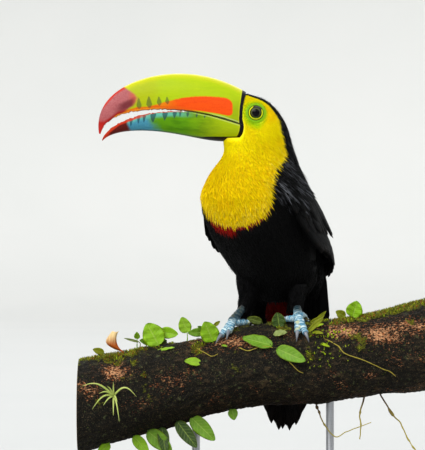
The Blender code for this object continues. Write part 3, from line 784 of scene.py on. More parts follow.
def bill_width(t):
    """Half width of the bill at Bezier parameter t."""
    t = np.clip(t, 0, 1)
    return BILL_TIP_WIDTH + (BILL_BASE_WIDTH - BILL_TIP_WIDTH) * (1 - t**1.9)**0.85


def serration(t):
    """Depth of the teeth along a cutting edge: uneven saw teeth that fade toward the base."""
    teeth = (t * 25 + 0.35 * np.sin(t * 61)) % 1.0
    depth = 0.75 + 0.35 * np.sin(t * 97)
    return 1.5 * depth * (1 - teeth)**0.7 * smooth(0.28, 0.5, t) * smooth(0.99, 0.9, t)


def bill_rings(edge, ridge, steps, sides):
    """Rings of half the bill: flat across its cutting edge, rounded to its ridge, with teeth."""
    t = join([BILL_ROOT], np.linspace(0, 1, steps)**0.85 * 0.992)
    turn, flat = np.linspace(0, np.pi, sides), np.linspace(-0.93, 0.93, 13)
    across = join(np.cos(turn), flat)
    up = join(np.sin(turn)**0.92, 0 * flat)
    notch = np.exp(-join(np.sin(turn) / 0.06, (1 - np.abs(flat)) / 0.35)**2)
    hollow = 0.10 * join(0 * turn, 1 - flat**2)
    low, high = bezier(edge, t), bezier(ridge, t)
    tall = (high - low)[:, None]
    middle = low[:, None] + tall * up[None, :, None]
    middle = middle + unit(tall) * (serration(t)[:, None] * notch[None])[..., None]
    middle = middle + tall * hollow[None, :, None] * 0.8
    y = bill_width(t)[:, None] * (np.sign(across) * np.abs(across)**0.9)[None]
    return vec(middle[..., 0], y, middle[..., 1])


def line_distance(x, z):
    """Distance ahead of the feathers' edge at the bill's base."""
    line = spline(BILL_BASE, np.linspace(0, len(BILL_BASE) - 1, 60))
    return np.interp(-z, -line[:, 1], line[:, 0]) - x


def rounded_overlap(first, second, corner):
    """Depth inside two edges at once, with the corner between them rounded."""
    return corner - ((corner - first).most(0.0)**2.0 + (corner - second).most(0.0)**2.0)**0.5


def flame(across, share, half, speckle):
    """A pointed dark mark: share is 0 at its foot and 1 at its point, half its widest half."""
    body = ((1.0 - share).most(0.0)**0.7) * share.rise(-0.35, 0.25) * half
    depth = body - (across + share * 0.6).maths("ABSOLUTE", across + share * 0.6)
    return (depth + (speckle - 0.5) * 1.0).rise(-0.3, 0.6) * share.rise(1.05, 0.8)


def paint_upper(f, x, z, edge_line, wobble, speckle, streaks):
    """Lime horn, green at its base, with an orange blaze, dark flames and a maroon tip."""
    ridge_line = x.curve(bezier(CULMEN, np.linspace(0, 0.84, 9)))
    above, below = z - edge_line, ridge_line - z
    f.colour = (f.noise(14.0, 3.0) * 0.5 + streaks * 0.5).mix((142, 172, 2), (176, 194, 6))
    f.paint((x + wobble * 14).rise(-90, -112), (160, 172, 4))
    f.paint((below + wobble * 2.0).rise(7.0, 1.0), (186, 188, 14))
    # a pale line along the ridge: partly the horn's yellow, partly a painted highlight
    f.paint(below.rise(1.6, 0.4), (220, 212, 80))
    green = (x + wobble * 8).rise(-40, -22) * (392.0 - z + wobble * 8).rise(-8, 12)
    f.paint(green * 0.8, (138, 156, 0))
    top = x.curve([(-118, 380), (-108, 385.2), (-100, 387.6), (-93, 389.6), (-83, 392.0),
                   (-73, 394), (-63, 395.0), (-53, 395.2), (-40, 394.6), (-32, 393.4),
                   (-22, 391)])
    low = x.curve([(-118, 377), (-100, 380), (-84, 381.6), (-70, 381.2), (-58, 380.4),
                   (-40, 377.6), (-31, 375.8), (-22, 374)])
    start = (x + 25.4) * -1.0 + wobble * 0.6
    blaze = rounded_overlap(top - z + (speckle - 0.5) * 1.6, start, 6.0).least(
        rounded_overlap(z - low + (speckle - 0.5) * 0.6, start, 5.0)).rise(-0.7, 0.9)
    fire = (streaks * 0.6 + speckle * 0.5).mix((246, 92, 6), (200, 48, 2))
    f.paint(blaze * x.rise(-124, -104), (x + wobble * 10).rise(-74, -100).mix(fire, (210, 122, 4)))
    lip = (above + wobble * 2).rise(4.6, 2.8) * x.rise(-60, -84)
    f.paint(lip * 0.9, speckle.mix((196, 44, 6), (216, 110, 8)))
    flames = [flame(x - centre, (z - foot) / tall, half, speckle) for centre, foot, tall, half in (
        (-118.6, 384.4, 10.0, 3.2), (-108.4, 385.4, 10.6, 3.6), (-98.4, 387.4, 8.2, 3.0),
        (-90.4, 388.6, 6.6, 2.6))]
    f.paint(reduce(Shade.most, flames) * 0.66, (60, 74, 40))
    core = (z - 387.0 + (x + 130.0) * -0.42) / 6.0
    shadow = (core * core).rise(1.0, 0.0) * x.rise(-146, -133) * x.rise(-120, -127)
    lime, f.colour = f.colour, (streaks * 0.4 + speckle * 0.7).mix((190, 116, 116), (132, 46, 54))
    f.paint((x + wobble * 4).rise(-131, -124), (182, 84, 66))
    f.paint(shadow * 0.85, (96, 28, 36))
    f.paint(above.rise(6.0, 2.6), (140, 16, 12))
    f.paint((below + wobble).rise(3.4, 1.0), (186, 52, 40))
    f.paint(z.rise(376, 362), (176, 34, 26))
    bound = z.curve([(372, -140), (380.7, -132.3), (385.8, -124.4), (389.7, -121.4),
                     (393.6, -120.3), (397, -122.6), (401, -128), (405, -134), (411, -146)])
    f.colour = (bound - x + wobble * 3.0).rise(-2.6, 2.6).mix(lime, f.colour)
    rim = above.rise(2.4, 1.4) * x.rise(-84, -104) * x.rise(-149, -142)
    f.paint(rim * 0.85, speckle.mix((196, 40, 8), (236, 176, 30)))
    seam = above.rise(1.3, 0.7) * x.rise(-92, -60)
    f.colour = x.rise(-70, -40).mix(seam.mix(f.colour, (96, 12, 8)),
                                    above.rise(0.7, 0.3).mix(f.colour, (8, 6, 12)))
    gleam = above.rise(0.8, 1.2) * above.rise(2.1, 1.5)
    f.paint(gleam * x.rise(-54, -38) * 0.55, (170, 190, 150))


def paint_lower(f, x, z, edge_line, wobble, speckle, streaks):
    """Green horn with a blue part, a row of dark flames and a dark red tip; returns its keel."""
    keel_line = x.curve(bezier(GONYS, np.linspace(0, 0.93, 9)))
    below = edge_line - z
    green = (f.noise(11.0, 3.0) * 0.5 + streaks * 0.6).mix((104, 164, 2), (66, 128, 2))
    f.colour = (x + wobble * 16).rise(-80, -26).mix(green, (156, 176, 2))
    smudge = (f.noise(1.0, 2.0, 0.5, f.stretched(26.0, 5.0, 5.0)) - 0.35).rise(0.1, 0.3)
    f.paint(smudge * 0.32 * x.rise(-100, -80) * x.rise(-30, -60), (32, 78, 2))
    f.paint((x + wobble * 12 + (z - 372.0) * 0.7).rise(-101, -115),
            speckle.mix((46, 122, 156), (84, 156, 176)))
    strip = (below + wobble * 3).rise(7.0, 3.2) * (x + wobble * 10).rise(-60, -88)
    f.paint(strip * 0.9, (92, 176, 160))
    flames = [flame(x - centre, (edge_line - 0.9 - z) / tall, half, speckle)
              for centre, tall, half in (
                  (-132.0, 6.0, 1.5), (-126.4, 8.0, 2.2), (-119.0, 8.0, 2.0), (-113.4, 8.0, 2.1),
                  (-104.4, 9.5, 3.6), (-92.6, 8.6, 3.4), (-83.0, 7.0, 2.6), (-77.5, 5.4, 1.5),
                  (-70.0, 5.0, 2.0), (-61.0, 4.2, 1.5), (-53.0, 3.4, 1.3))]
    f.paint(reduce(Shade.most, flames) * 0.75, (24, 56, 70))
    f.paint((x + wobble * 4 + (z - 372.0) * 0.4).rise(-129.5, -133.5),
            speckle.mix((120, 30, 20), (52, 10, 8)))
    rim = (below.rise(3.8, 2.2) * x.rise(-106, -124)).most(x.rise(-146.5, -150.5))
    f.paint(rim * 0.9, (206, 52, 24))
    # painted shade: a dark line along the keel of the lower bill
    keel = (z - keel_line).rise(1.8, 0.5) * x.rise(-140, -120) * x.rise(-50, -60)
    f.paint(keel * 0.7, (14, 26, 4))
    f.paint(below.rise(1.6, 0.8) * x.rise(-68, -88), (186, 62, 26))
    gleam = below.rise(0.5, 0.9) * below.rise(1.9, 1.3)
    f.paint(gleam * x.rise(-74, -56) * 0.5, (196, 206, 120))
    f.paint(below.rise(0.45, 0.1) * x.rise(-76, -50), (8, 6, 12))
    return keel_line


def bill_finish(name, upper):
    """Horn of the bill: lime, orange, blue and maroon fields with dark flames and a black base."""
    f = Finish(name, Coat_Weight=0.03, Coat_Roughness=0.2, Specular_IOR_Level=0.1)
    x, _, z = f.axes()
    wobble = f.noise(9.0, 3.0) - 0.5
    speckle = f.noise(1.6, 3.0, 0.6)
    streaks = f.noise(1.0, 3.0, 0.6, f.stretched(14.0, 2.2, 2.2))
    edge_line = x.curve(bezier(TOMIUM if upper else LOWER_EDGE, np.linspace(0, 0.93, 9)))
    keel_line = (paint_upper if upper else paint_lower)(f, x, z, edge_line, wobble, speckle,
                                                        streaks)
    feathers_end = (-z).curve(-spline(BILL_BASE, np.linspace(0, 7, 15))[:, ::-1])
    ahead = f.maths("MULTIPLY", -1.0, feathers_end) - x
    if upper:
        width = z.rise(378, 368) * 1.1 + z.rise(386, 400) * 0.8 + 2.4
    else:
        width = z.rise(372, 356) * 0.5 + 3.2
    band = (width - ahead).rise(-0.35, 0.35)
    if not upper:
        floor = keel_line.most(CHIN_LEVEL + 0.1)
        band = band.most((z - floor).rise(2.2, 1.4) * x.rise(-70, -52))
    f.paint((width - ahead).rise(-1.5, -0.4) * (1.0 - band) * 0.5, (190, 190, 30))
    f.paint(band, (8, 6, 16))
    return f.done(f.colour, 0.34 + 0.18 * streaks + 0.1 * speckle,
                  streaks * 0.6 + f.noise(6.0, 3.0) + speckle * 0.15, 0.22)


def plain(name, points, faces):
    """A mesh object for a Boolean, its faces turned outward."""
    mesh = bpy.data.meshes.new(name)
    mesh.from_pydata((np.asarray(points) * MM).tolist(), [],
                     [tuple(int(i) for i in face) for f in faces for face in f])
    mesh.update()
    bm = bmesh.new()
    bm.from_mesh(mesh)
    bmesh.ops.recalc_face_normals(bm, faces=bm.faces)
    bm.to_mesh(mesh)
    bm.free()
    return placed(name, mesh)


def boolean(made, tool, operation, solver="EXACT"):
    """Cuts or joins an object with another one, which is then removed."""
    step = made.modifiers.new("shape", "BOOLEAN")
    step.operation, step.solver, step.object = operation, solver, tool
    bpy.context.view_layer.update()
    shaped = made.evaluated_get(bpy.context.evaluated_depsgraph_get())
    mesh = bpy.data.meshes.new_from_object(shaped)
    made.modifiers.clear()
    made.data = mesh
    bpy.data.objects.remove(tool)


def prism_block(name, shift, floor):
    """A block ahead of the feathered bill base: its outline carried across the bird."""
    line = spline(BILL_BASE, np.linspace(0, len(BILL_BASE) - 1, 40)) + np.array([-shift, 0.0])
    line = line[line[:, 1] > floor]
    outline = join(line, [(-190.0, line[-1, 1]), (-190.0, 440.0), (line[0, 0], 440.0)])
    count = len(outline)
    sides = [vec(outline[:, 0], y, outline[:, 1]) for y in (-60.0, 60.0)]
    j = np.arange(count)
    after = (j + 1) % count
    quads = vec(j, after, count + after, count + j)
    return plain(name, np.concatenate(sides), [quads, [tuple(range(count))],
        [tuple(range(count, 2 * count))]])


def add_bill():
    """Both halves of the bill, ending under the feathers of its base."""
    for name, edge, ridge in (("upper_bill", TOMIUM, CULMEN), ("lower_bill", LOWER_EDGE, GONYS)):
        made = plain(name + "_horn", *sweep(bill_rings(edge, ridge, 190, 61)))
        boolean(made, prism_block("bill_block", -0.8, 0.0), "INTERSECT")
        made.data.shade_smooth()
        made.data.set_sharp_from_angle(angle=math.radians(38))
        dress(made, bill_finish(name, edge is TOMIUM))
        ride(made, [name])


# ---------------- skin

def skin_depth(p):
    """How far the skin lies under the coat's outside: least on the face."""
    return 0.8 + 1.5 * smooth(1.2, 4.0, p)


def tree_of(points):
    """A search tree over points."""
    tree = KDTree(len(points))
    for index, point in enumerate(points):
        tree.insert(point, index)
    tree.balance()
    return tree


def nearest(places, points):
    """For each point the number of the nearest place and how far away that is."""
    tree = tree_of(places.reshape(-1, 3))
    found = np.array([tree.find(point)[1:] for point in points])
    return found[:, 0].astype(int), found[:, 1]


def vent_rings(lift, sides):
    """Rings that close the body under its last station, drawn in and down like an ellipsoid."""
    last = body_point(BODY_END, ring(sides, 360), lift)
    centre = last.mean(axis=0)
    sink = np.radians([20, 40, 58, 72, 82])
    down = np.array([0.0, 0.0, -(VENT_DROP + lift)])
    return np.stack([centre + (last - centre) * np.cos(s) + down * np.sin(s) for s in sink])


def shank_path(side, steps):
    """Middle line of a shank, a curve through its ankle to the foot joint."""
    x, angle = FOOT_JOINTS[side]
    return spline(ANKLES[side] + [branch_point(x, angle, FOOT_HEIGHT)], np.linspace(0, 2, steps))


def scutes(share, turn, count):
    """Height of overlapping scutes down the front of a shank or toe, with beads on its back."""
    step = (share * count + 0.12 * np.sin(2 * turn)) % 1.0
    front = smooth(-0.5, 0.2, np.sin(turn))
    plates = (step**0.35 * (1 - step**6) - 0.55) * front
    beads = (0.3 * np.sin(share * count * 4 * np.pi) * np.sin(turn * 6)) * (1 - front)
    return plates + beads


def scaly_tube(path, radii, count, sides, flat=1.0, start=0.0):
    """A smooth tube across a path, with the height of the scutes at each of its points."""
    share = np.linspace(0, 1, len(path))[:, None]
    return tube(path, radii, sides, flat, start), scutes(share, ring(sides)[None] + start, count)


def toe_path(side, end, steps):
    """Middle line of a toe and its radii, from the foot joint down onto the bark and along it."""
    start = FOOT_JOINTS[side]
    t = np.linspace(0, 1, steps)
    radii = along(TOE_RADII, t) + TOE_PADS * np.cos(6 * np.pi * t)
    rest = radii + TOE_REST
    lift = rest + (FOOT_HEIGHT - rest) * (1 - t)**3
    return branch_point(start[0] + (end[0] - start[0]) * t, start[1] + (end[1] - start[1]) * t,
        lift), radii


LEG_BLUE = srgb(84, 142, 172)
LEG_PALE = srgb(200, 220, 222)
LEG_GROOVE = srgb(18, 46, 68)
LEG_CREAM = srgb(204, 202, 140)
# painted shade of the upper shanks
LEG_SHADE = srgb(9, 26, 26)


def add_skin():
    """One skin for head, neck, trunk, thighs and legs, joined and then marked like the coat."""
    angles = ring(96, 360)
    p = np.linspace(0.0, BODY_END, 150)
    body = join(body_point(p[:, None], angles[None], -skin_depth(p)[:, None]),
                           vent_rings(-2.3, 96))
    skin = plain("skin", *sweep(body))
    boolean(skin, prism_block("head_cutter", -0.5, CHIN_LEVEL), "DIFFERENCE", "MANIFOLD")
    scales = []
    for side in ("left", "right"):
        thigh = lobe_point(THIGHS[side], np.linspace(0, 1, 24)[:, None], angles[None, ::3], -1.6)
        tubes = [scaly_tube(shank_path(side, 100), along(SHANK_RADII, np.linspace(0, 1, 100)), 9,
                            30)]
        for number, end in enumerate(TOE_ENDS[side], 1):
            path, radii = toe_path(side, end, 84)
            tubes.append(scaly_tube(path + np.array([0.13, 0.07, -0.05]) * number,
                                    radii * (0.96 + 0.012 * number), 8, 26, 0.92, 0.053 * number))
        for rings in (thigh, *(rings for rings, _ in tubes)):
            boolean(skin, plain("limb", *sweep(rings)), "UNION", "MANIFOLD")
        scales += tubes
    mesh = skin.data
    count = len(mesh.vertices)
    points, normals = np.zeros((2, count * 3), np.float32)
    mesh.vertices.foreach_get("co", points)
    mesh.vertices.foreach_get("normal", normals)
    points = points.reshape(-1, 3) / MM
    grid_p, grid_q = np.meshgrid(np.linspace(0, BODY_END, 161), np.arange(0, 360, 2.0),
                                 indexing="ij")
    index, gap = nearest(body_point(grid_p, grid_q, -skin_depth(grid_p)), points)
    # painted shade under the coat: the skin takes the markings at 0.85 of their brightness
    tint = markings(grid_p.ravel()[index], grid_q.ravel()[index]) * 0.85
    tint = blend(smooth(199, 190, points[:, 2]) * smooth(0.8, 2.0, gap), tint, BLACK)
    legs = smooth(0.6, 1.6, gap) * smooth(189, 186.5, points[:, 2])
    index, _ = nearest(join(*[rings.reshape(-1, 3) for rings, _ in scales]), points)
    height = join(*[height.ravel() for _, height in scales])[index]
    # pale on raised scutes: pale scute edges and a painted highlight
    pale_edge_and_highlight = height + 0.5 * noise(points, 2.6, 7, 2)
    # painted shade: the upper shanks go dark from these heights up
    shade_from = np.where(points[:, 0] < 10, 170.5, 179.0)
    leg_tint = LEG_BLUE
    for share, colour in (
            (smooth(-0.1, 0.5, pale_edge_and_highlight), LEG_PALE),
            (0.7 * smooth(0.15, 0.5, noise(points, 4.5, 8, 2)), LEG_CREAM),
            # the grooves between scutes are dark skin, deepened as painted shade
            (smooth(-0.1, -0.45, height), LEG_GROOVE),
            # painted shade over the upper shanks
            (0.9 * smooth(-1.0, 5.0, points[:, 2] - shade_from), LEG_SHADE),
            # painted shade: black on the far side of the shanks above 174 to 178
            (smooth(3, 9, points[:, 1]) * smooth(174, 178, points[:, 2]), BLACK)):
        leg_tint = blend(share, leg_tint, colour)
    points = points + normals.reshape(-1, 3) * (0.7 * height * legs)[:, None]
    mesh.vertices.foreach_set("co", (points * MM).astype(np.float32).ravel())
    mesh.shade_smooth()
    dress(skin, skin_finish(), blend(legs, tint, leg_tint), {"scaly": legs})
    ride(skin, ["head", "neck", "trunk", "left_thigh", "right_thigh", "left_leg",
                           "right_leg"])


# ---------------- coat

YELLOW_PLUMAGE = plumage("yellow_plumage", 0.75, 0.05)
BLACK_PLUMAGE = plumage("black_plumage", 0.5, 0.06)
RED_PLUMAGE = plumage("red_plumage", 0.6, 0.05)
WHITE_PLUMAGE = plumage("white_plumage", 0.7, 0.05, sheen=0.1)
FLIGHT_PLUMAGE = vane_plumage("flight_plumage")

TUFT_LENGTH = ((0, 0.6, 1.2, 2.2, 3.4, 4.5, 5.6, 8.0), (2.2, 2.6, 3.4, 6.0, 8.5, 10.0, 11.0, 12.0))
TUFT_WIDTH = ((0, 0.6, 1.2, 2.2, 3.4, 4.5, 5.6, 8.0), (0.2, 0.2, 0.2, 0.25, 0.3, 0.34, 0.38, 0.5))


def clear_of_bill(p, q):
    """Places that the bill and the bare eye ring leave for feathers."""
    points = body_point(p, q)
    ahead = line_distance(points[..., 0], points[..., 2])
    free = (ahead < -0.4) | (points[..., 2] < CHIN_LEVEL - 1.0)
    return free & ~((eye_reach(points) < 9.6) & (p < 2.2))


def under_wing(p, q):
    """Places well under a folded wing, where no feather shows."""
    side = np.abs((q + 180) % 360 - 180)
    return (p > 4.6) & (p < 6.6) & (side > 32) & (side < 92)


def step_length(surface, p, q):
    """Millimetres down a surface for one unit of p."""
    return size(surface(p + 0.01, q) - surface(p, q)) / 0.01


def tuft_length(p):
    """Length of a contour feather at station p."""
    return np.interp(p, *TUFT_LENGTH)


def tuft_width(p):
    """Half width of a contour feather at station p."""
    return np.interp(p, *TUFT_WIDTH)


def add_yellow(side, low, high, seed):
    """Short face feathers growing into the bib's long hair-like ones, on one side."""
    p, q = scatter(body_point, (0.0, 5.8), (low, high),
                   lambda p, q: 4.4 / (tuft_length(p) * tuft_width(p) * 2),
                   lambda p, q: (bib_room(p, q) > 0.0) & clear_of_bill(p, q), seed)
    rng = np.random.default_rng(seed)
    reach = tuft_length(p) / step_length(body_point, p, q)
    ragged = 1 + 1.2 * smooth(2.5, 4.0, p)
    inside = bib_room(p + reach, q) > rng.uniform(-0.1, 0.04, len(p)) * ragged
    p, q, reach = p[inside], q[inside], reach[inside]
    count, fine = len(p), smooth(1.0, 3.0, p)
    long = tuft_length(p) * rng.uniform(0.75, 1.2, count)
    lift = rng.uniform(-0.45, 0.0, count) + fine * rng.uniform(0.0, 0.5, count)
    edge = smooth(0.45, 0.05, bib_room(p + reach, q))
    turn = rng.normal(0, 0.1 + 0.16 * edge, count)
    lift = lift + edge * fine * rng.uniform(0, 1.3, count)
    coat = feathers(body_point, p, q, long, tuft_width(p) * rng.uniform(0.7, 1.3, count),
                    tuft_width(p) * 0.6, -skin_depth(p) - 0.4, lift, turn)
    golden = (rng.random(count) < 0.12) * smooth(2.2, 3.2, p)
    tint = blend(0.35 * golden, markings(p, q), AMBER)
    tint = blend(0.25 * (rng.random(count) < 0.2) * edge, tint, srgb(255, 246, 110))
    lay("bib_feathers_" + side, coat, YELLOW_PLUMAGE, tint, skin_unwrap, root_shade=0.05, seed=seed)


def sheen_strands(points, p, rng):
    """Which black feathers get a painted blue-grey sheen: loose groups of strands on the crown and
    mantle.
    """
    group = noise(points, 8.0, 6, 2)
    share = 0.10 * smooth(0.2, 0.8, p) + 0.36 * smooth(0.0, 0.5, group) * smooth(2.4, 3.2, p)
    share = share * smooth(5.3, 4.6, p)
    return (rng.random(len(p)) < share) * rng.uniform(0.35, 1.0, len(p))


def add_black(name, p_range, low, high, seed, where, cover=3.8, loose=0.0):
    """Black contour feathers, hair-like, some with a painted blue-grey sheen, some of them loose
    strands.
    """
    p, q = scatter(body_point, p_range, (low, high),
                   lambda p, q: cover / (tuft_length(p) * tuft_width(p) * 2),
                   lambda p, q: (bib_room(p, q) < 0.01) & clear_of_bill(p, q)
                   & ~under_wing(p, q) & where(p, q), seed)
    rng = np.random.default_rng(seed)
    count = len(p)
    astray = rng.random(count) < loose
    across = np.abs((q + 180) % 360 - 180)
    over = smooth(0.75, 0.2, WING_TOP - p) * (p < WING_TOP) * smooth(30, 50, across)
    over = over * smooth(118, 104, across)
    long = tuft_length(p) * rng.uniform(0.8, 1.3, count) * (1 + 0.25 * astray) * (1 + 0.5 * over)
    lift = rng.uniform(-0.5, 0.3, count) + astray * rng.uniform(0.6, 2.2, count)
    lift = lift + over * rng.uniform(1.5, 4.2, count)
    coat = feathers(body_point, p, q, long, tuft_width(p) * rng.uniform(0.8, 1.5, count),
                    tuft_width(p) * 0.5, -skin_depth(p) - 0.4, lift,
                    rng.normal(0, 0.08 + 0.08 * astray, count))
    middle = p + 0.6 * long / step_length(body_point, p, q)
    red = smooth(-0.03, 0.05, band_room(middle, q)) * smooth(4.6, 5.0, p)
    tint = blend(red, blend(sheen_strands(body_point(p, q), p, rng), BLACK, SHEEN),
                 # painted shade: the band's red falls to 0.45 of its brightness toward the bird's
                 # left side
                 blend(smooth(-20, 8, off_middle(q)), BAND_RED * 0.45, BAND_RED))
    lay(name, coat, BLACK_PLUMAGE, tint, skin_unwrap, root_shade=0.3, seed=seed)


def add_coat():
    """The contour feathers of face, bib, crown, mantle and belly."""
    add_yellow("left", 0.0, 176.0, 11)
    add_yellow("right", 176.0, 360.0, 12)
    add_black("crown_feathers", (0.0, 4.2), -60.0, 60.0, 13, lambda p, q: p > 0, 4.0, loose=0.04)
    add_black("mantle_feathers", (3.0, 8.0), -100.0, 100.0, 14, lambda p, q: (p > 4.2) |
        (np.abs(q) > 60), loose=0.1)
    add_black("belly_feathers", (3.0, 8.0), 100.0, 260.0, 15, lambda p, q: p > 0, loose=0.03)


def lobe_feathers(name, rows, column, seed, u_top, long, wide, finish=BLACK_PLUMAGE, colour=BLACK,
                  replaces=(), pad=True, shorten=0.55, flare=0.0):
    """Soft feathers over a lobe, on a closed pad of its own where asked; flare lifts the tips
    near its end."""
    surface = lambda u, q, lift=0.0: lobe_point(rows, u, q, lift)
    p, q = scatter(surface, (u_top, 0.97), (0.0, 360.0),
                   lambda p, q: 4.0 / (long * wide * 2) + 0 * p,
                   lambda p, q: p > -1, seed)
    rng = np.random.default_rng(seed)
    count = len(p)
    coat = feathers(surface, p, q, long * rng.uniform(0.7, 1.2, count) * (1 - shorten * p),
                    wide * rng.uniform(0.7, 1.3, count), wide * 0.4, -1.9,
                    rng.uniform(-0.4, 0.4, count) + flare * smooth(0.6, 1.0, p),
                    rng.normal(0, 0.1, count))
    u = np.linspace(0, 1, 26)[:, None]
    # painted shade: the pad under the feathers takes 0.7 of their colour
    extra = (sweep(lobe_point(rows, u, ring(40, 360)[None], -1.4)), colour * 0.7,
             ((column + 0.5) / 4, 0.05)) if pad else None
    lay(name, coat, finish, colour, lobe_unwrap(column), replaces, extra, 0.4, seed)


# ---------------- wings and tail

WING_ROWS = (                   # u of the roots, feathers across, length, half width, tip lift
    (0.26, 11, 20.0, 4.2, 0.6), (0.34, 11, 24.0, 4.4, 0.8), (0.42, 10, 34.0, 5.2, 1.0),
    (0.50, 12, 56.0, 6.0, 0.4), (0.58, 12, 62.0, 6.0, 0.1), (0.66, 12, 60.0, 5.6, -0.3))


def add_wing(side):
    """A folded wing: loose feathers over its top, some with a painted blue-grey sheen, coverts, and
    long flight feathers.
    """
    surface = lambda u, v, lift=0.0: wing_point(side, u, v, lift)
    rng = np.random.default_rng(21 if side == "left" else 22)
    rows = []
    for row, (u, count, long, wide, tip) in enumerate(WING_ROWS):
        v = (np.arange(count) + 0.5 * (row % 2) + 0.25) / count
        rows.append(floats(u + rng.normal(0, 0.012, count), v, long, wide,
                           tip * rng.uniform(0.4, 1.6, count)))
    v = np.array([0.3, 0.38, 0.46, 0.54, 0.62, 0.7])
    rows.append(floats(0.2 + 0.02 * np.cos(9 * v), v, 62.0, 5.2, [2.0, 3.0, 5.5, 6.5, 4.5, 2.5]))
    u, v, long, wide, tip = (np.concatenate(column) for column in zip(*rows))
    folded = 0.14 * smooth(0.75, 0.35, v) if side == "right" else 0.0
    room = step_length(surface, np.minimum(u, 0.9), v) * (1.0 - folded - u)
    long = np.minimum(long * rng.uniform(0.9, 1.1, len(u)), room * rng.uniform(0.86, 1.08, len(u)))
    inner_u = np.tile([0.5, 0.62, 0.72], 14) + rng.normal(0, 0.02, 42)
    inner_v = np.repeat(np.linspace(0.04, 0.96, 14), 3)
    room = step_length(surface, inner_u, inner_v) * (1.0 - inner_u)
    under = -np.minimum(along(WING_THICK, inner_u), 3.2) - 0.9
    inner = floats(inner_u, inner_v, room * rng.uniform(0.85, 1.04, 42), 5.4,
                   under + rng.uniform(-0.6, 0.8, 42), under)
    u, v, long, wide, tip, depth = (
        np.concatenate(pair) for pair in zip(floats(u, v, long, wide, tip, -1.7), inner))
    coat = feathers(surface, u, v, long, wide, 0.5, depth, tip, rng.normal(0, 0.06, len(u)),
                    VANE, (0.1, 0.3, 0.55, 0.78, 0.92, 0.975), (0.55, 0.9, 1.0, 0.92, 0.6, 0.26))
    gu, gv = floats(np.linspace(0.0, 0.93, 40)[:, None], np.linspace(0.03, 0.97, 34)[None])
    if side == "right":
        gu = gu * (1 - 0.12 * smooth(0.75, 0.35, gv))
    outer = wing_point(side, gu, gv, -1.3 - 0.9 * smooth(0.7, 0.93, gu))
    inner = wing_point(side, gu, gv, -np.minimum(along(WING_THICK, gu / 0.93), 3.2) - 0.4)
    slab = sweep(join(outer, inner[:, ::-1], axis=1))
    unwrap = lambda p, q: vec(0.1 + 0.8 * q, 0.1 + 0.8 * np.clip(p, 0, 1))
    lay(side + "_wing_feathers", coat, FLIGHT_PLUMAGE, BLACK * rng.uniform(0.6, 1.5, (len(u), 1)),
        unwrap, [side + "_wing"], (slab, BLACK, (0.5, 0.04)), 0.35)

    u, v = scatter(surface, (0.0, 0.56), (0.0, 1.0),
                   lambda u, v: (1 - 0.75 * smooth(0.3, 0.56, u)) * 0.42 + 0 * v,
                   lambda u, v: u > -1, 25)
    rng = np.random.default_rng(26)
    count = len(u)
    astray = rng.random(count) < 0.12
    long = rng.uniform(9.0, 14.0, count) * (1 + 0.3 * astray)
    coat = feathers(surface, u, v, long, rng.uniform(0.32, 0.62, count), 0.3, -1.6,
                    rng.uniform(-0.3, 0.9, count) + astray * rng.uniform(0.8, 2.4, count),
                    rng.normal(0, 0.12, count))
    groups = smooth(-0.3, 0.4, noise(surface(u, v), 7.0, 12, 2))
    # painted sheen: some shoulder feathers are painted blue-grey
    shine = (rng.random(count) < 0.4 * groups) * smooth(0.56, 0.36, u)
    lay(side + "_shoulder_feathers", coat, BLACK_PLUMAGE,
        blend(shine * rng.uniform(0.5, 1.4, count), BLACK, SHEEN), unwrap, (), None, 0.3, 27)


def add_tail():
    """Ten tail feathers as rounded vanes, the middle ones on top behind."""
    order = np.array([-0.88, -0.68, -0.49, -0.30, -0.10, 0.10, 0.30, 0.49, 0.68, 0.88])
    end = TAIL_Z[-1] + 27.0 * (1 - np.sqrt(1 - (0.93 * order)**2))
    end = end + np.array([2.0, -3.0, 1.5, -3.5, -1.0, 2.5, -3.0, 1.0, -2.5, 2.0])
    depth = 0.9 - 1.9 * np.abs(order)
    coat = feathers(tail_point, np.full(10, 0.02), order * 0.94, TAIL_Z[0] - end - 1, 8.2, 0.75,
                    depth, depth, 0.0, VANE, (0.02, 0.08, 0.3, 0.5, 0.7, 0.84, 0.91, 0.95, 0.98),
                    (0.9, 1.05, 1.12, 1.15, 1.05, 0.92, 0.72, 0.5, 0.24))
    unwrap = lambda p, q: vec(0.5 + 0.4 * q, 0.1 + 0.8 * p)
    lay("tail_feathers", coat, FLIGHT_PLUMAGE, BLACK * 1.1, unwrap, ["tail"],
        None, 0.2)


# ---------------- eyes and claws

def eye_distance(f):
    """Distance from the eye's axis in a finish."""
    x, _, z = f.axes()
    dx, dz = x - EYE[0], z - EYE[2]
    return (dx * dx + dz * dz)**0.5


def eye_finish():
    """Eye: black pupil, dark olive iris ring, black rim, all under a wet clear surface."""
    f = Finish("eye", Coat_Weight=0.12, Coat_Roughness=0.02, Specular_IOR_Level=0.06)
    reach = eye_distance(f)
    spokes = f.noise(0.7, 3.0, 0.6)
    ring = reach.rise(3.4, 4.1) * reach.rise(5.5, 4.9)
    return f.done(ring.mix((3, 3, 5), spokes.mix((40, 46, 24), (92, 96, 60))),
                  0.12 + 0.1 * spokes)


def lid_finish():
    """Bare beaded skin round the eye, yellow-green at the rim and green outside it."""
    f = Finish("eye_ring", Specular_IOR_Level=0.12)
    reach = eye_distance(f)
    beads = f.noise(0.9, 2.0)
    f.colour = reach.rise(6.6, 7.4).mix((206, 210, 2), (114, 162, 0))
    f.paint(reach.rise(6.9, 7.2) * reach.rise(7.9, 7.5) * 0.9, (22, 36, 2))
    f.paint(reach.rise(6.05, 5.85), (14, 16, 8))
    f.paint(reach.rise(9.0, 10.8), (150, 184, 2))
    return f.done(f.scaled(f.colour, 0.8 + 0.4 * beads), 0.42 + 0.2 * beads, beads, 0.2)


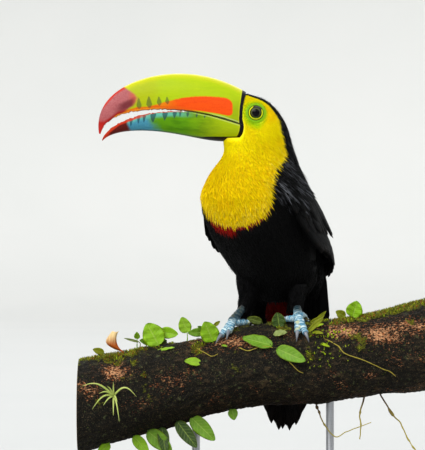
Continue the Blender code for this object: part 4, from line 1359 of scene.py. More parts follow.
def face_y(x, z, side):
    """Where the face's surface lies across the bird at (x, z), on the left (-1) or right (1)."""
    grid_p, grid_q = np.meshgrid(np.linspace(0, 2.2, 45), np.arange(20, 121, 2.0), indexing="ij")
    points = body_point(grid_p, grid_q if side < 0 else -grid_q, -0.8).reshape(-1, 3)
    tree = tree_of(points * np.array([1.0, 0.0, 1.0]))
    values = []
    for a, b in zip(np.ravel(x), np.ravel(z)):
        found = tree.find_n((a, 0.0, b), 4)
        weight = np.array([1 / (distance + 0.05) for _, _, distance in found])
        values.append(float((points[[i for _, i, _ in found], 1] * weight).sum() / weight.sum()))
    return np.reshape(values, np.shape(x))


def add_eyes():
    """Eyeballs with the pupil facing out, and rings of bare lids that fold onto them."""
    eye, lid = eye_finish(), lid_finish()
    # profile of the lids: distance from the eye's axis, height over the face
    profile = np.array([(5.75, 1.6), (5.85, 2.25), (6.2, 2.5), (6.6, 2.35), (7.0, 1.5),
                        (7.35, 0.75), (7.7, 0.85), (8.2, 1.05), (9.0, 0.9), (10.0, 0.55),
                        (11.0, 0.0), (10.8, -0.9), (8.0, -0.9), (6.2, -0.6)])
    out, over = profile[:, :1], profile[:, 1:]
    for side, sign in (("left", -1), ("right", 1)):
        a, b = np.radians(np.linspace(3, 177, 60)[:, None]), np.radians(ring(72, 360)[None])
        ball = vec(EYE[0] + EYE_RADIUS * np.sin(a) * np.cos(b),
                         sign * (EYE[1] + EYE_RADIUS * np.cos(a)),
                         EYE[2] + EYE_RADIUS * np.sin(a) * np.sin(b))
        piece(side + "_eyeball", *sweep(ball), eye, "eyes", [side + "_eye"])
        turn = np.radians(ring(120, 360))
        reach = out * (1 + 0.012 * np.sin(7 * turn) + 0.01 * np.sin(13 * turn + 1))
        x, z = EYE[0] + reach * np.cos(turn), EYE[2] + reach * np.sin(turn) * 0.97
        wrinkles = 0.12 * np.sin(23 * turn) * (out > 7.6)
        level = sign * (np.abs(face_y(x, z, sign)) + over + wrinkles)
        points = vec(x, level, z).transpose(1, 0, 2).reshape(-1, 3)
        piece(side + "_eye_ring", points, [loop_quads(120, len(profile), 120)], lid, "plumage")


def claw_rings(side, end):
    """A curved claw that leaves the toe's end and comes down to the bark."""
    path, radii = toe_path(side, end, 9)
    heading = unit(path[-1] - path[-2])
    start = FOOT_JOINTS[side]
    arc = np.radians(end[1] - start[1]) * BRANCH[:, 2].mean()
    course = unit(np.array([end[0] - start[0], arc])) * CLAW_LENGTH
    t = np.linspace(0, 1, 22)
    widths = CLAW_RADII[0] + (CLAW_RADII[1] - CLAW_RADII[0]) * t**1.2
    lift = (radii[-1] + TOE_REST + CLAW_ARCH * np.sin(np.pi * t * 0.8)
            - (radii[-1] - CLAW_TIP_LIFT) * t**2)
    curve = branch_point(end[0] + course[0] * t,
                         end[1] + np.degrees(course[1] * t / BRANCH[:, 2].mean()),
                         np.maximum(lift, widths + 0.5))
    return tube(curve - heading * 1.2, widths, 14)


def add_claws():
    """Eight claws of grey horn, darker toward the tip."""
    f = Finish("claw_horn", Coat_Weight=0.3, Coat_Roughness=0.2)
    grain = f.noise(0.8, 3.0, 0.6)
    colour = (f.attribute("share") * 0.9).mix((128, 134, 142), (36, 36, 42))
    finish = f.done(f.scaled(colour, 0.8 + 0.4 * grain), 0.3 + 0.2 * grain, grain, 0.08)
    share = with_ends(0, np.repeat(np.linspace(0, 1, 22), 14), 1)
    for side in ("left", "right"):
        for index, end in enumerate(TOE_ENDS[side], 1):
            piece(f"{side}_claw_horn_{index}", *sweep(claw_rings(side, end)), finish, "claws",
                  [f"{side}_claw_{index}"], values={"share": share})


# ---------------- branch

SOIL = srgb(13, 12, 8)
BARK_BROWN = srgb(62, 50, 33)
RUST = srgb(158, 84, 40)
SALMON = srgb(228, 168, 120)
LICHEN = srgb(104, 112, 72)
MOSS_DARK = srgb(56, 62, 16)
MOSS = srgb(142, 144, 34)
MOSS_BRIGHT = srgb(176, 206, 24)
# x, height of the middle, reach along x, reach in height, strength of the rust-coloured crusts
CRUSTS = np.array([(-143, 122, 18, 9, 0.9), (-168, 104, 12, 10, 0.7), (-88, 116, 14, 10, 0.4),
                   (-30, 152, 42, 8, 0.75), (-60, 147, 24, 7, 0.55), (30, 158, 22, 6, 0.35),
                   (84, 163, 24, 9, 0.85), (122, 160, 30, 13, 0.9), (150, 167, 28, 10, 0.8),
                   (165, 140, 20, 10, 0.4), (-120, 90, 16, 8, 0.3)])


def bark_relief(x, angle):
    """Height of the bark over the branch: long ridges, flakes and lumps of noise."""
    x, a = np.broadcast_arrays(np.asarray(x, float), np.radians(angle))
    place = vec(x, 42 * np.sin(a), 42 * np.cos(a))
    ridges = noise(place / np.array([3.2, 1.0, 1.0]), 6.0, 3, 3)
    flakes = noise(place / np.array([1.6, 1.0, 1.0]), 2.6, 9, 2)
    lumps = noise(place, 19.0, 4, 2)
    crumbs = noise(place, 1.9, 14)
    plates = np.sign(flakes) * np.abs(flakes)**0.6
    return (0.9 * (1 - 2 * np.abs(ridges)) + 0.6 * plates + 1.2 * lumps + 0.5 * crumbs) - 0.9


def bark_growth(x, angle, relief):
    """Shares of rusty crust and of moss over the bark, by place, and a tone from dark to brown,
    with painted shade under its left part.
    """
    x, angle, relief = np.broadcast_arrays(x, angle, relief)
    points = branch_point(x, angle)
    z, front = points[..., 2], -points[..., 1]
    grain = noise(points / np.array([2.0, 1.0, 1.0]), 2.4, 21, 2)
    patch = noise(points, 9.0, 22, 3)
    tone = smooth(-0.6, 1.2, grain + 0.4 * relief + 0.5 * patch)
    crust = 0.34 * smooth(0.1, 0.6, noise(points, 18.0, 23, 2))
    for cx, cz, wide, tall, strength in CRUSTS:
        near = np.exp(-((x - cx) / wide)**2 - ((z - cz) / tall)**2)
        crust = np.maximum(crust, strength * near * (front > -12))
    crust = np.clip(crust + 0.3 * patch * smooth(0.05, 0.3, crust), 0, 1)
    up = np.cos(np.radians(angle))
    # painted shade: the bark's underside is darker toward the left end
    tone = tone - 0.35 * smooth(0.5, -0.3, up) * smooth(-30, -110, x)
    moss = smooth(0.8, 1.0, up) * (0.3 + 0.7 * smooth(40, 80, x) + 0.6 * smooth(-100, -125, x))
    moss = moss + 0.6 * smooth(0.1, 0.6, noise(points, 15.0, 27, 2)) * smooth(-0.6, 0.3, up)
    moss = np.clip(moss * (0.55 + 0.9 * patch + 0.5 * noise(points, 4.0, 28, 2)), 0, 1)
    return crust, moss, tone


def bark_finish():
    """Bark: dark soil, specks of rust, salmon and lichen where crust grows, moss by its share."""
    f = Finish("bark", Specular_IOR_Level=0.15)
    crust, moss, tone = (f.attribute(name) for name in ("crust", "moss", "tone"))
    grain = f.noise(1.1, 5.0, 0.7, f.stretched(3.0, 1.2, 1.2))
    crumb = f.noise(1.0, 4.0, 0.7)
    fleck = f.noise(1.7, 4.0, 0.65, f.stretched(2.4, 1.5, 1.5))
    hue = f.noise(2.6, 3.0, 0.6)
    f.colour = (tone + (grain - 0.5) * 2.2).rise(0.2, 1.1).mix(SOIL, BARK_BROWN)
    f.paint(crumb.rise(0.57, 0.66) * 0.6, (120, 104, 72))
    f.paint(f.noise(5.0, 4.0, 0.6).rise(0.6, 0.66) * fleck.rise(0.42, 0.55) * 0.4, LICHEN)
    speck = (fleck + crust * 0.28).rise(0.64, 0.74) * crust.rise(0.02, 0.12)
    f.paint(speck * 0.9, f.scaled((hue + crust * 0.2).rise(0.5, 0.72).mix(RUST, SALMON),
                                  (crumb * 3.4 - 0.95).most(0.1)))
    dots = f.noise(1.3, 2.0, 0.5).rise(0.7, 0.74) * f.noise(22.0, 2.0).rise(0.48, 0.6)
    f.paint(dots * 0.8, (120, 140, 14))
    mossy = (hue * 0.6 + fleck * 0.4 + moss * 0.7).rise(0.66, 0.84) * moss.rise(0.05, 0.2)
    f.paint(mossy * 0.85, (crumb + grain - 0.5).rise(0.3, 0.8).mix(MOSS_DARK, MOSS))
    return f.done(f.colour, 0.62 + 0.3 * grain, grain + crumb * 0.9 + speck * 0.7 + mossy, 1.0)


def add_branch():
    """The cut branch: a bark tube with sawn ends that show its rings."""
    x = np.linspace(BRANCH[0, 0] + 0.6, BRANCH[-1, 0] - 0.6, 400)[:, None]
    angles = ring(240, 360)[None]
    relief = bark_relief(x, angles)
    feet = np.ones_like(relief)
    for fx, fa in FOOT_JOINTS.values():
        near = np.hypot((x - fx) / 17, ((angles - fa + 180) % 360 - 180) / 32)
        feet = np.minimum(feet, smooth(0.7, 1.4, near) + 0 * relief)
    relief = -0.4 + (relief + 0.4) * (0.25 + 0.75 * feet)
    turned = (angles + 180) % 360 - 180
    relief = relief + 2.2 * np.exp(-((x + 17) / 9)**4 - ((turned + 7) / 14)**2)
    growth = zip(("crust", "moss", "tone"), bark_growth(x, angles, relief))
    piece("branch_bark", *sweep(branch_point(x, angles, relief)), bark_finish(), "branch",
          ["branch"], values={key: with_ends(0.0, share, 0.0) for key, share in growth})
    wood = sawn_finish()
    for index, (end, inward) in enumerate(((x[0, 0], 1.0), (x[-1, 0], -1.0)), 1):
        reach = np.array([0.02, 0.3, 0.6, 0.85, 0.93, 0.965])[:, None, None]
        middle = branch_point(end, 0.0) * 0.5 + branch_point(end, 180.0) * 0.5
        disc = middle + (branch_point(end, angles[:, ::2], -1.2) - middle) * reach
        face = disc + np.array([-0.35 * inward, 0.0, 0.0])
        back = disc[::-1] + np.array([1.5 * inward, 0.0, 0.0])
        piece(f"sawn_end_{index}", *sweep(join(face, back)), wood, "branch")


def sawn_finish():
    """Sawn wood: growth rings about the pith, rays, saw marks and a darker bark line."""
    f = Finish("sawn_wood", Specular_IOR_Level=0.2)
    x, y, z = f.axes()
    away = (y * y + (z - x.curve(BRANCH[[0, -1], :2]))**2.0)**0.5
    away = away + (f.noise(26.0, 3.0) - 0.5) * 14.0
    rings = (away * 1.9 + (f.noise(12.0, 2.0) - 0.5) * 3.0).wave()
    grain = f.noise(1.0, 3.0, 0.7)
    saw = f.noise(1.0, 2.0, 0.5, f.stretched(9.0, 30.0, 0.8))
    colour = (rings * 0.7 + grain * 0.3).mix((150, 112, 72), (196, 160, 112))
    return f.done((away.rise(30.0, 42.0) * 0.6).mix(colour, (92, 62, 38)), 0.7 + 0.2 * grain,
                  rings * 0.4 + saw, 0.18)


# ---------------- plants on the branch

LEAF_LIGHT = srgb(142, 186, 38)
LEAF_BRIGHT = srgb(130, 178, 14)
LEAF_MID = srgb(102, 146, 28)
LEAF_DARK = srgb(48, 74, 20)
LEAF_PALE = srgb(134, 148, 84)
LEAF_OLIVE = srgb(132, 138, 14)
LEAF_DIM = srgb(74, 88, 22)
LEAF_BROWN = srgb(110, 86, 44)
# stalk end x, z, tip x, z, width, colour, lean of the tip toward the front, cup
LEAVES = (
    (-99, 147, -111, 169, 23, LEAF_BRIGHT, -2, 2.0), (-98, 160, -80, 158, 12, LEAF_BRIGHT, 2, 2.0),
    (-92, 152, -104, 147, 9, LEAF_DARK, 3, -2.0), (-71, 159, -76, 175, 13, LEAF_LIGHT, 0, 1.5),
    (-101, 142, -83, 146, 5, LEAF_LIGHT, 4, 0.5), (-45, 151, -53, 171, 19, LEAF_BRIGHT, 3, 2.0),
    (-54, 160, -70, 159, 9, LEAF_MID, 1, 1.0), (-57, 131, -73, 133, 9, LEAF_LIGHT, 3, 1.0),
    (-36, 148, -31, 147, 3, LEAF_LIGHT, 2, 0.3), (14, 148, -16, 156, 14.5, LEAF_MID, 4, 1.8),
    (21, 165, 19, 180, 14, LEAF_DARK, 0, 2.0), (4, 170, -11, 174, 8, LEAF_DIM, 1, 1.0),
    (15, 159, 28, 161, 9, LEAF_PALE, 3, 1.0), (18, 145, 46, 133, 15, LEAF_MID, 4, 1.8),
    (49, 161, 64, 175, 5, LEAF_OLIVE, 3, 1.0), (52, 169, 66, 177, 4.5, LEAF_OLIVE, 2, 1.0),
    (53, 165, 65, 169, 5, MOSS_BRIGHT * 0.8, 3, 0.7), (54, 161, 64, 160, 4.5, LEAF_OLIVE, 3, 0.7),
    (58, 171, 68, 181, 4, LEAF_OLIVE, 2, 0.5), (87, 175, 78, 181, 9, LEAF_OLIVE, 1, 1.0),
    (94, 175, 99, 191, 17, LEAF_BRIGHT, 1, 2.0), (-154, 139, -165, 143, 7, LEAF_OLIVE, 1, 0.6),
    (-121, 153, -121, 160, 6, LEAF_BRIGHT, 1, 0.6), (-119, 150, -134, 154, 2.6, LEAF_PALE, 1, 0.4),
    (-44, 166, -38, 171, 4, LEAF_OLIVE, 1, 0.5), (38, 181, 51, 172, 3, LEAF_BROWN, 2, 1.5),
    (-67, 76, -43, 53, 16, LEAF_MID, 2, 2.0), (-81, 72, -61, 46, 14, LEAF_DARK, 3, 2.0),
    (-110, 62, -86, 42, 17, LEAF_MID, 2, 2.0), (-26, 84, -24, 73, 10, LEAF_MID, 1, 1.0),
    (-124, 57, -109, 40, 12, LEAF_BRIGHT, 2, 1.5), (-96, 66, -92, 40, 12, LEAF_DARK, 4, 1.5),
    (-148, 50, -160, 38, 10, LEAF_BRIGHT, 2, 1.0), (-104, 149, -118, 152, 8, LEAF_MID, 4, 1.0),
    (-50, 158, -60, 166, 7, LEAF_MID, 4, 1.0), (62, 150, 70, 147, 3, MOSS_BRIGHT * 0.8, 3, 0.5),
)


def bark_front(x, z):
    """Depth y of the front of the bark at (x, z), or of the branch's middle line above it."""
    height, radius = branch_line(x)
    return -np.sqrt(np.maximum(radius**2 - (z - height)**2, 0.0))


def leaf_rings(base, tip, normal, wide, cup):
    """Rings round one leaf: an egg-shaped blade along its midrib, cupped, veined and 0.5 thick.

    At share t the half width is wide/2 times sin(pi t^0.75)^0.62; the blade dips along its midrib,
    curls by cup toward its edges, and its tip bends back.
    """
    t, v = np.linspace(0.015, 0.985, 18)[:, None], np.linspace(-1, 1, 9)[None]
    axis = tip - base
    side = unit(np.cross(axis, normal))
    half = wide / 2 * np.sin(np.pi * t**0.75)**0.62
    ripple = 0.04 * wide * np.sin(t * 19 + v * 1.3) * np.abs(v)
    lift = (cup * (np.abs(v) - 0.35) * half / (wide / 2) + 0.1 * cup * np.cos(v * 9) * (1 - v * v)
            + ripple - 0.06 * wide * t**2)
    over = (base + axis * t[..., None] + side * (half * v)[..., None]
            + normal * lift[..., None])
    under = over - normal * (0.5 * (1 - 0.8 * v * v))[..., None]
    return join(over, under[:, -2:0:-1], axis=1)


def leaf_stalks(leaves):
    """A thin round stalk for each leaf, bent from its base to the nearest place in the bark."""
    base, second = leaves[:, 0].mean(1), leaves[:, 2].mean(1)
    height, radius = branch_line(base[:, 0])
    middle = vec(base[:, 0], 0.0, height)
    away, ahead = unit(base - middle), unit(second - base)
    root = middle + away * (radius - 2.0)[:, None]
    bend = base - ahead * 0.45 * size(base - root)[..., None] + away * 0.5
    t = np.linspace(0, 1, 12)[None, :, None]
    start, bend, root = (row[:, None] for row in (base + ahead * 0.8, bend, root))
    paths = start * (1 - t)**2 + 2 * bend * t * (1 - t) + root * t**2
    return np.array([tube(path, np.linspace(0.4, 0.65, 12), 7) for path in paths])


def leaf_finish():
    """Leaf: pale midrib and slanting side veins, blotches, and a waxy surface."""
    f = Finish("leaf", Specular_IOR_Level=0.25)
    share, far = f.attribute("share"), abs(f.attribute("across"))
    veins = ((share * 8.0 - far * 1.6) * 6.2832).wave()**8.0 * far.rise(1.0, 0.7)
    midrib = far.rise(0.12, 0.03)
    blotch = f.noise(5.0, 3.0, 0.6)
    f.colour = f.scaled(f.attribute("tint", 0), 0.5 + 0.75 * blotch)
    f.paint((veins * 0.14 + midrib * 0.3).least(0.7), (170, 196, 90))
    f.paint(far.rise(0.85, 1.0) * 0.3, (176, 190, 40))
    f.paint(f.noise(2.2, 2.0).rise(0.68, 0.76) * 0.4, (70, 60, 20))
    return f.done(f.colour, 0.36 + 0.25 * blotch, blotch * 0.5 - veins * 0.6 - midrib, 0.3)


def add_leaves():
    """Leaves of the creepers on the branch, one mesh, each rooted in the bark."""
    rings, tints = [], []
    for x0, z0, x1, z1, wide, colour, lean, cup in LEAVES:
        y0, y1 = bark_front(np.array([x0, x1]), np.array([z0, z1]))
        tall = max(y0, y1) > -4
        base = np.array([x0, y0 + 1.0, z0], float)
        tip = np.array([x1, (y0 if tall else y1) - 2.0 - lean * 1.4, z1], float)
        up = (z0 + z1) / 2 - np.interp((x0 + x1) / 2, BRANCH[:, 0], BRANCH[:, 1])
        normal = unit(np.array([0.0, -1.0, 0.1] if tall else
                               [0.0, min((y0 + y1) / 2, -8.0), 0.8 * up]))
        axis = unit(tip - base)
        normal = unit(normal - axis * (normal @ axis))
        rings.append(leaf_rings(base, tip, normal, wide, cup))
        tints.append(colour)
    rings, tints = np.array(rings), np.array(tints)
    steps, around = rings.shape[1:3]
    share = with_ends(0, np.repeat(np.linspace(0, 1, steps), around), 1)
    side = join(np.linspace(-1, 1, 9), np.linspace(1, -1, 9)[1:-1])
    across = with_ends(0, np.tile(side, steps), 0)
    stalks = leaf_stalks(rings)
    more = sweep(stalks)
    count = len(more[0])
    tint = join(np.repeat(tints, len(share), axis=0),
                           np.repeat(tints * 0.8, count // len(stalks), 0))
    values = {key: join(np.tile(row, len(rings)), np.full(count, fill))
              for key, row, fill in (("share", share, 0.5), ("across", across, 0.3))}
    piece("creeper_leaves", *merge(sweep(rings), more), leaf_finish(), "branch", tint=tint,
          values=values)


# points x, y offset from the bark's front, z of each thin root, and its radius
ROOTS = (
    (((64, -1, 155), (78, -1, 148), (85, -1, 140), (103, -1, 134), (120, -1, 126), (130, -1, 122),
      (136, -1, 117)), 0.45),
    (((57, 12, 92), (60, 4, 82), (64, 0, 72), (76, -2, 57), (88, -3, 62), (112, -3, 71)), 0.7),
    (((107, 12, 99), (104, 4, 90), (101, 0, 80), (102, 0, 66), (101, 0, 54)), 0.9),
    (((120, 12, 101), (126, 4, 91), (134, 0, 78), (142, 0, 69), (150, -1, 52), (157, -2, 42)),
     0.8),
    (((30, -1, 132), (38, -1, 124), (44, -1, 121)), 0.4),
    (((-20, -1, 146), (-10, -1, 143), (2, -1, 147), (14, -1, 146)), 0.4),
    (((-62, -1, 145), (-52, -1, 140), (-46, -1, 137), (-40, -1, 140)), 0.4),
)


def add_roots():
    """Thin roots that creep over the bark or hang below it, with knots along them."""
    parts, tints = [], []
    share = np.linspace(0, 1, 60)
    for handles, radius in ROOTS:
        hangs = handles[0][1] > 0
        path = spline(handles, share * (len(handles) - 1))
        path[:, 1] += -18.0 if hangs else bark_front(path[:, 0], path[:, 2])
        path += 0.5 * vec(*[noise(path, 5.0, 31 + k) for k in range(3)])
        knots = smooth(0.2, 0.8, noise(path, 4.0, 41)) * (1.3 if hangs else 0.5)
        radii = radius * (1.1 - 0.55 * share) * (1 + knots)
        radii = radii * (0.3 + 0.7 * smooth(0.0, 0.1, share))
        parts.append(sweep(tube(path, radii, 9)))
        colour = blend(smooth(0.15, 0.7, share) if hangs else 1 + 0 * share, srgb(74, 56, 34),
                       srgb(160, 146, 54))
        tints.append(join(colour[:1], np.repeat(colour, 9, axis=0), colour[-1:]))
    f = Finish("root", Specular_IOR_Level=0.2)
    grain = f.noise(1.0, 3.0, 0.7)
    finish = f.done(f.scaled(f.attribute("tint", 0), 0.6 + 0.8 * grain), 0.55 + 0.3 * grain, grain,
                    0.3)
    piece("air_roots", *merge(*parts), finish, "branch", tint=np.concatenate(tints))


def add_air_plant():
    """A rosette of thin arching strap leaves on the front of the bark."""
    centre = np.array([-143.0, 0.0, 98.5])
    centre[1] = bark_front(centre[0], centre[2]) - 0.5
    ends = ((-31, -9, 10, 7), (-6, -10, 10, 2), (0, -8, 14, 0), (23, -6, -1, 9), (-21, -7, -13, 6),
            (-10, -8, -9, 2), (0, -9, -19, 1), (6, -12, -25, 6), (4, -13, -5, 2), (-14, -14, 3, 3))
    t = np.linspace(0.02, 0.99, 16)[:, None]
    half = 0.95 * (1 - t**1.8) + 0.1
    rings = []
    for *end, arch in ends:
        path = centre + np.array(end, float) * t + np.array([0, -0.35 * arch, arch]) * np.sin(
            np.pi * t)
        tangent = unit(np.gradient(path, axis=0))
        side = unit(np.cross(tangent, np.array([0.0, -1.0, 0.25])))
        up = np.cross(side, tangent)
        rings.append(np.stack([path + side * half + up * half * 0.3, path + up * 0.25,
                               path - side * half + up * half * 0.3, path - up * 0.25], 1))
    f = Finish("air_plant", Specular_IOR_Level=0.25)
    grain = f.noise(1.0, 2.0, 0.6, f.stretched(3.0, 3.0, 3.0))
    colour = (f.noise(14.0) * 0.8).mix((156, 178, 62), (206, 210, 138))
    finish = f.done(f.scaled(colour, 0.8 + 0.4 * grain), 0.4 + 0.2 * grain, grain, 0.15)
    piece("air_plant", *sweep(np.array(rings)), finish, "branch")


def add_curled_leaf():
    """A dry curled leaf on the left of the branch: a sheet 0.6 thick, rolled about a bent path.

    The path is a curve through three handles; at share t and roll r the sheet stands off it by
    its radius, 1.2 + 4.4 sin(0.62 pi t^0.8), with a wavy rim.
    """
    t = np.linspace(0, 1, 30)[:, None]
    roll = np.radians(np.linspace(-100, 100, 25))[None]
    middle = bezier([(-137.5, -7.0, 142.0), (-151.0, -6.0, 149.0), (-142.5, -5.0, 159.5)], t)
    radius = (1.2 + 4.4 * np.sin(np.pi * 0.62 * t**0.8)) * (1 + 0.12 * np.sin(3 * roll + 5 * t))
    faces = []
    for r in (radius, radius - 0.6):
        faces.append(middle + vec(
            r * np.sin(roll - 0.9), -r * np.cos(roll - 0.9),
            1.2 * np.sin(3 * roll + 1) * t + 0.35 * r * np.sin(roll)))
    blade = sweep(join(faces[0], faces[1][:, ::-1], axis=1))
    bend = [(-134.0, -9.0, 134.0), (-135.0, -8.0, 140.0), (-139.5, -7.0, 143.5)]
    stalk = sweep(tube(spline(bend, np.linspace(0, 2, 14)), 0.9, 9))
    share = join(with_ends(0, np.repeat(t, 50), 1), np.zeros(len(stalk[0])))
    f = Finish("curled_leaf", Specular_IOR_Level=0.2)
    grain = f.noise(1.0, 3.0, 0.6, f.stretched(1.5, 1.5, 9.0))
    colour = (f.attribute("share") + (grain - 0.5) * 0.5).rise(0.25, 0.9).mix(
        (168, 78, 14), (226, 196, 140))
    finish = f.done(f.scaled(colour, 0.7 + 0.5 * grain), 0.5 + 0.2 * grain, grain, 0.3)
    piece("curled_leaf", *merge(blade, stalk), finish, "branch", values={"share": share})


def add_moss():
    """Moss: short blades that stand over the mossy parts of the bark, brightest in small dots."""
    p, q = scatter(branch_point, (-178.0, 178.0), (-70.0, 130.0), lambda p, q: 0.55 + 0 * p,
                   lambda p, q: bark_growth(p, q, 0.0)[1] > 0.35, 51)
    for fx, fa in FOOT_JOINTS.values():
        clear = np.hypot((p - fx) / 15, (q - fa) / 30) > 1
        p, q = p[clear], q[clear]
    rng = np.random.default_rng(52)
    dots_p, dots_q = 48 + 42 * rng.random(56), 36 + 62 * rng.random(56)
    repeat = rng.integers(2, 5, 56)
    dots_p = np.repeat(dots_p, repeat) + rng.normal(0, 0.4, repeat.sum())
    dots_q = np.repeat(dots_q, repeat) + rng.normal(0, 0.5, repeat.sum())
    bright = join(np.zeros(len(p)), np.ones(len(dots_p)))
    p, q = join(p, dots_p), join(q, dots_q)
    count = len(p)
    long = rng.uniform(1.2, 3.4, count) * (1 - 0.55 * bright)
    coat = feathers(branch_point, p, q, long, rng.uniform(0.25, 0.55, count), 0.3, -1.5,
                    rng.uniform(0.8, 2.4, count), rng.uniform(0, 2 * np.pi, count))
    tone = rng.random(count)
    tint = MOSS_DARK
    for share, colour in ((tone, MOSS), ((tone > 0.9) * 0.8, MOSS_BRIGHT), (bright, MOSS_BRIGHT),
                          ((rng.random(count) < 0.1) * (1 - bright), RUST)):
        tint = blend(share, tint, colour)
    f = Finish("moss", Specular_IOR_Level=0.1)
    grain = f.noise(0.8, 2.0)
    finish = f.done(f.scaled(f.attribute("tint", 0), 0.7 + 0.6 * grain), 0.7 + 0.2 * grain, grain,
                    0.1)
    # painted shade: each blade is darker toward its root
    piece("moss_blades", coat["points"], coat["faces"], finish, "branch",
          tint=tint[coat["number"]] * (0.6 + 0.6 * coat["share"][:, None]))


# ---------------- stand

def wood_finish():
    """Dark oiled wood of the base: growth lines along it, pores, and a satin surface."""
    f = Finish("base_wood", Coat_Weight=0.2, Coat_Roughness=0.25)
    bands = f.node("TexWave", {"wave_type": "BANDS", "bands_direction": "Y"},
                   {"Vector": f.stretched(120.0, 9.0, 16.0), "Scale": 1.0, "Distortion": 5.0,
                    "Detail": 3.0, "Detail Scale": 1.2})
    pores = f.noise(1.0, 3.0, 0.7, f.stretched(16.0, 0.9, 0.9))
    return f.done((bands * 0.6 + pores * 0.4).mix((58, 34, 22), (112, 70, 42)),
                  0.34 + 0.22 * pores, pores + bands * 0.3, 0.12)


def steel_finish():
    """Brushed steel of the rods: fine rings round them and slight stains."""
    f = Finish("rod_steel", Metallic=1.0)
    rings = f.noise(1.0, 3.0, 0.7, f.stretched(30.0, 30.0, 0.35))
    return f.done(rings.mix((150, 152, 156), (196, 198, 202)), 0.26 + 0.2 * rings, rings, 0.03)


def rounded_outline(half_x, half_y, corner, steps):
    """A rectangle with rounded corners as points of its edge."""
    turn = np.radians(np.linspace(0, 90, steps))
    quarters = []
    for k, (sx, sy) in enumerate(((1, 1), (-1, 1), (-1, -1), (1, -1))):
        a = turn + k * np.pi / 2
        quarters.append(vec(sx * (half_x - corner) + corner * np.cos(a), sy * (half_y - corner) +
            corner * np.sin(a)))
    return np.concatenate(quarters)


def add_stand():
    """Base with a rounded rim and two brushed rods with thin collars."""
    rows = [(1.2, 0.0), (0.4, 0.3), (0.0, 1.1), (0.0, BASE_SIZE[2] - BASE_EDGE)]
    rows += [(BASE_EDGE * (1 - math.cos(a)), BASE_SIZE[2] - BASE_EDGE * (1 - math.sin(a)))
             for a in np.radians([15, 30, 45, 60, 75, 90])]
    rows += [(inset, BASE_SIZE[2]) for inset in (8.0, 20.0, 25.9)]
    rings = []
    for inset, z in rows:
        outline = rounded_outline(BASE_SIZE[0] / 2 - inset, BASE_SIZE[1] / 2 - inset,
                                  BASE_CORNER - inset if inset < 25.9 else 0.1, 14)
        rings.append(np.column_stack([outline, np.full(len(outline), z)]))
    made = [piece("base_board", *sweep(np.array(rings)), wood_finish(), "stand_base",
                  ["stand_base"])]
    steel, turn = steel_finish(), ring(48)
    for index, rod_x in enumerate(ROD_X, 1):
        top = branch_point(rod_x, 180.0)[2] + 12.0
        profile = [(0.5, 9.0), (ROD_RADIUS, 9.0), (ROD_RADIUS, 14.2), (8.6, 14.2), (9.0, 14.6),
                   (9.0, 16.2), (8.4, 16.9), (4.9, 17.4), (4.3, 18.2), (ROD_RADIUS, 18.9),
                   (ROD_RADIUS, top - 0.5), (0.5, top)]
        rings = np.stack([vec(rod_x + r * np.cos(turn), r * np.sin(turn),
                                    z) for r, z in profile])
        made.append(piece(f"rod_{index}", *sweep(rings), steel, "stand_rods",
                          [f"stand_rod_{index}"]))
    for one in made:
        one.data.set_sharp_from_angle(angle=math.radians(35))


# ---------------- floor, lights and camera

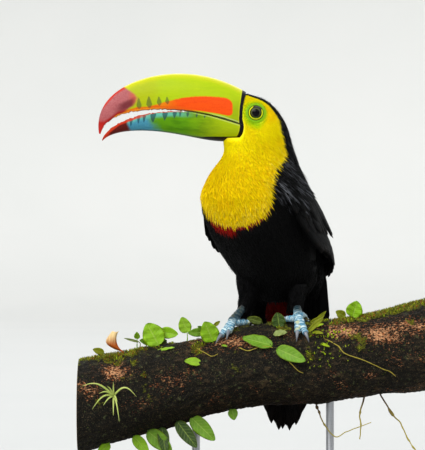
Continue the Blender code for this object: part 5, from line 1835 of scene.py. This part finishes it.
def add_studio():
    """Pale round floor that curves up far behind everything, soft lights, and the camera."""
    reach = np.array([0.3, 1.0, 2.0, 3.5, 5.0, 6.0, 6.6, 7.0, 7.25, 7.4, 7.45, 7.45]) * 1000
    height = np.array([0.0, 0.0, 0.0, 0.0, 0.0, 0.0, 0.08, 0.3, 0.62, 1.1, 1.9, 3.2]) * 1000
    turn, sides, count = ring(96)[None], np.arange(96), len(reach)
    rings = vec(reach[:, None] * np.cos(turn), reach[:, None] * np.sin(turn),
                      height[:, None])
    fan = vec(count * 96, (sides + 1) % 96, sides)
    points = join(rings.reshape(-1, 3), [[0.0, 0.0, 0.0]])
    mesh = bpy.data.meshes.new("floor")
    mesh.from_pydata((points * MM).tolist(), [],
                     loop_quads(count - 1, 96, count).tolist() + fan.tolist())
    mesh.shade_smooth()
    floor = placed("floor", mesh)
    f = Finish("floor_paint")
    paper = f.noise(400.0, 2.0)
    colour = paper.mix(np.array([0.50, 0.51, 0.50]), np.array([0.54, 0.54, 0.53]))
    mesh.materials.append(f.done(colour, 0.9 + 0.05 * paper))

    world = bpy.context.scene.world = bpy.data.worlds.new("studio")
    world.use_nodes = True
    sky = world.node_tree.nodes["Background"].inputs
    sky["Color"].default_value, sky["Strength"].default_value = (0.94, 0.97, 1.0, 1.0), 0.9
    for name, place, strength, soft, colour in (
            ("key", (-1.6, -2.3, 2.3), 2.9, 50.0, (1.0, 0.98, 0.95)),
            ("fill", (2.4, -1.6, 1.0), 0.6, 60.0, (0.95, 0.98, 1.0)),
            ("back", (0.8, 2.2, 2.2), 0.9, 50.0, (0.96, 0.98, 1.0))):
        light = bpy.data.lights.new(name, "SUN")
        light.energy, light.angle, light.color = strength, math.radians(soft), colour
        lamp = placed(name, light)
        lamp.location = place
        lamp.rotation_euler = (-Vector(place)).to_track_quat("-Z", "Y").to_euler()

    data = bpy.data.cameras.new("camera")
    data.sensor_width, data.sensor_fit, data.lens, data.clip_end = 36.0, "AUTO", 256.0, 50.0
    camera = bpy.context.scene.camera = placed("camera", data)
    camera.location, camera.rotation_euler = (-0.0455, -3.2, 0.267), (math.radians(90), 0.0, 0.0)
    bpy.context.scene.view_settings.view_transform = "Standard"


# ---------------- the whole

add_skin()
add_bill()
add_eyes()
add_claws()
add_coat()
for order, wing_side in enumerate(("left", "right")):
    add_wing(wing_side)
    lobe_feathers(wing_side + "_thigh_feathers", THIGHS[wing_side], order, 31, 0.02, 12.0, 0.42,
        pad=False, shorten=0.0, flare=2.4)
    lobe_feathers(wing_side + "_knee_feathers", KNEES[wing_side], order, 41, 0.0, 9.0, 0.42,
        shorten=0.1)
add_tail()
lobe_feathers("lower_back_feathers", LOWER_BACK, 3, 39, 0.0, 13.0, 0.6, shorten=0.1)
lobe_feathers("flank_feathers", FLANK, 3, 37, 0.05, 12.0, 0.6)
lobe_feathers("undertail_feathers", UNDERTAIL, 2, 33, 0.12, 12.0, 0.45, RED_PLUMAGE, UNDERTAIL_RED,
    ["undertail_coverts"])
lobe_feathers("vent_feathers", VENT_TUFT, 2, 35, 0.0, 12.0, 0.45)
lobe_feathers("rump_feathers", RUMP, 3, 34, 0.0, 15.0, 0.5, WHITE_PLUMAGE, RUMP_WHITE,
    ["rump_coverts"], shorten=0.1)
add_branch()
add_moss()
add_leaves()
add_roots()
add_air_plant()
add_curled_leaf()
add_stand()
add_studio()
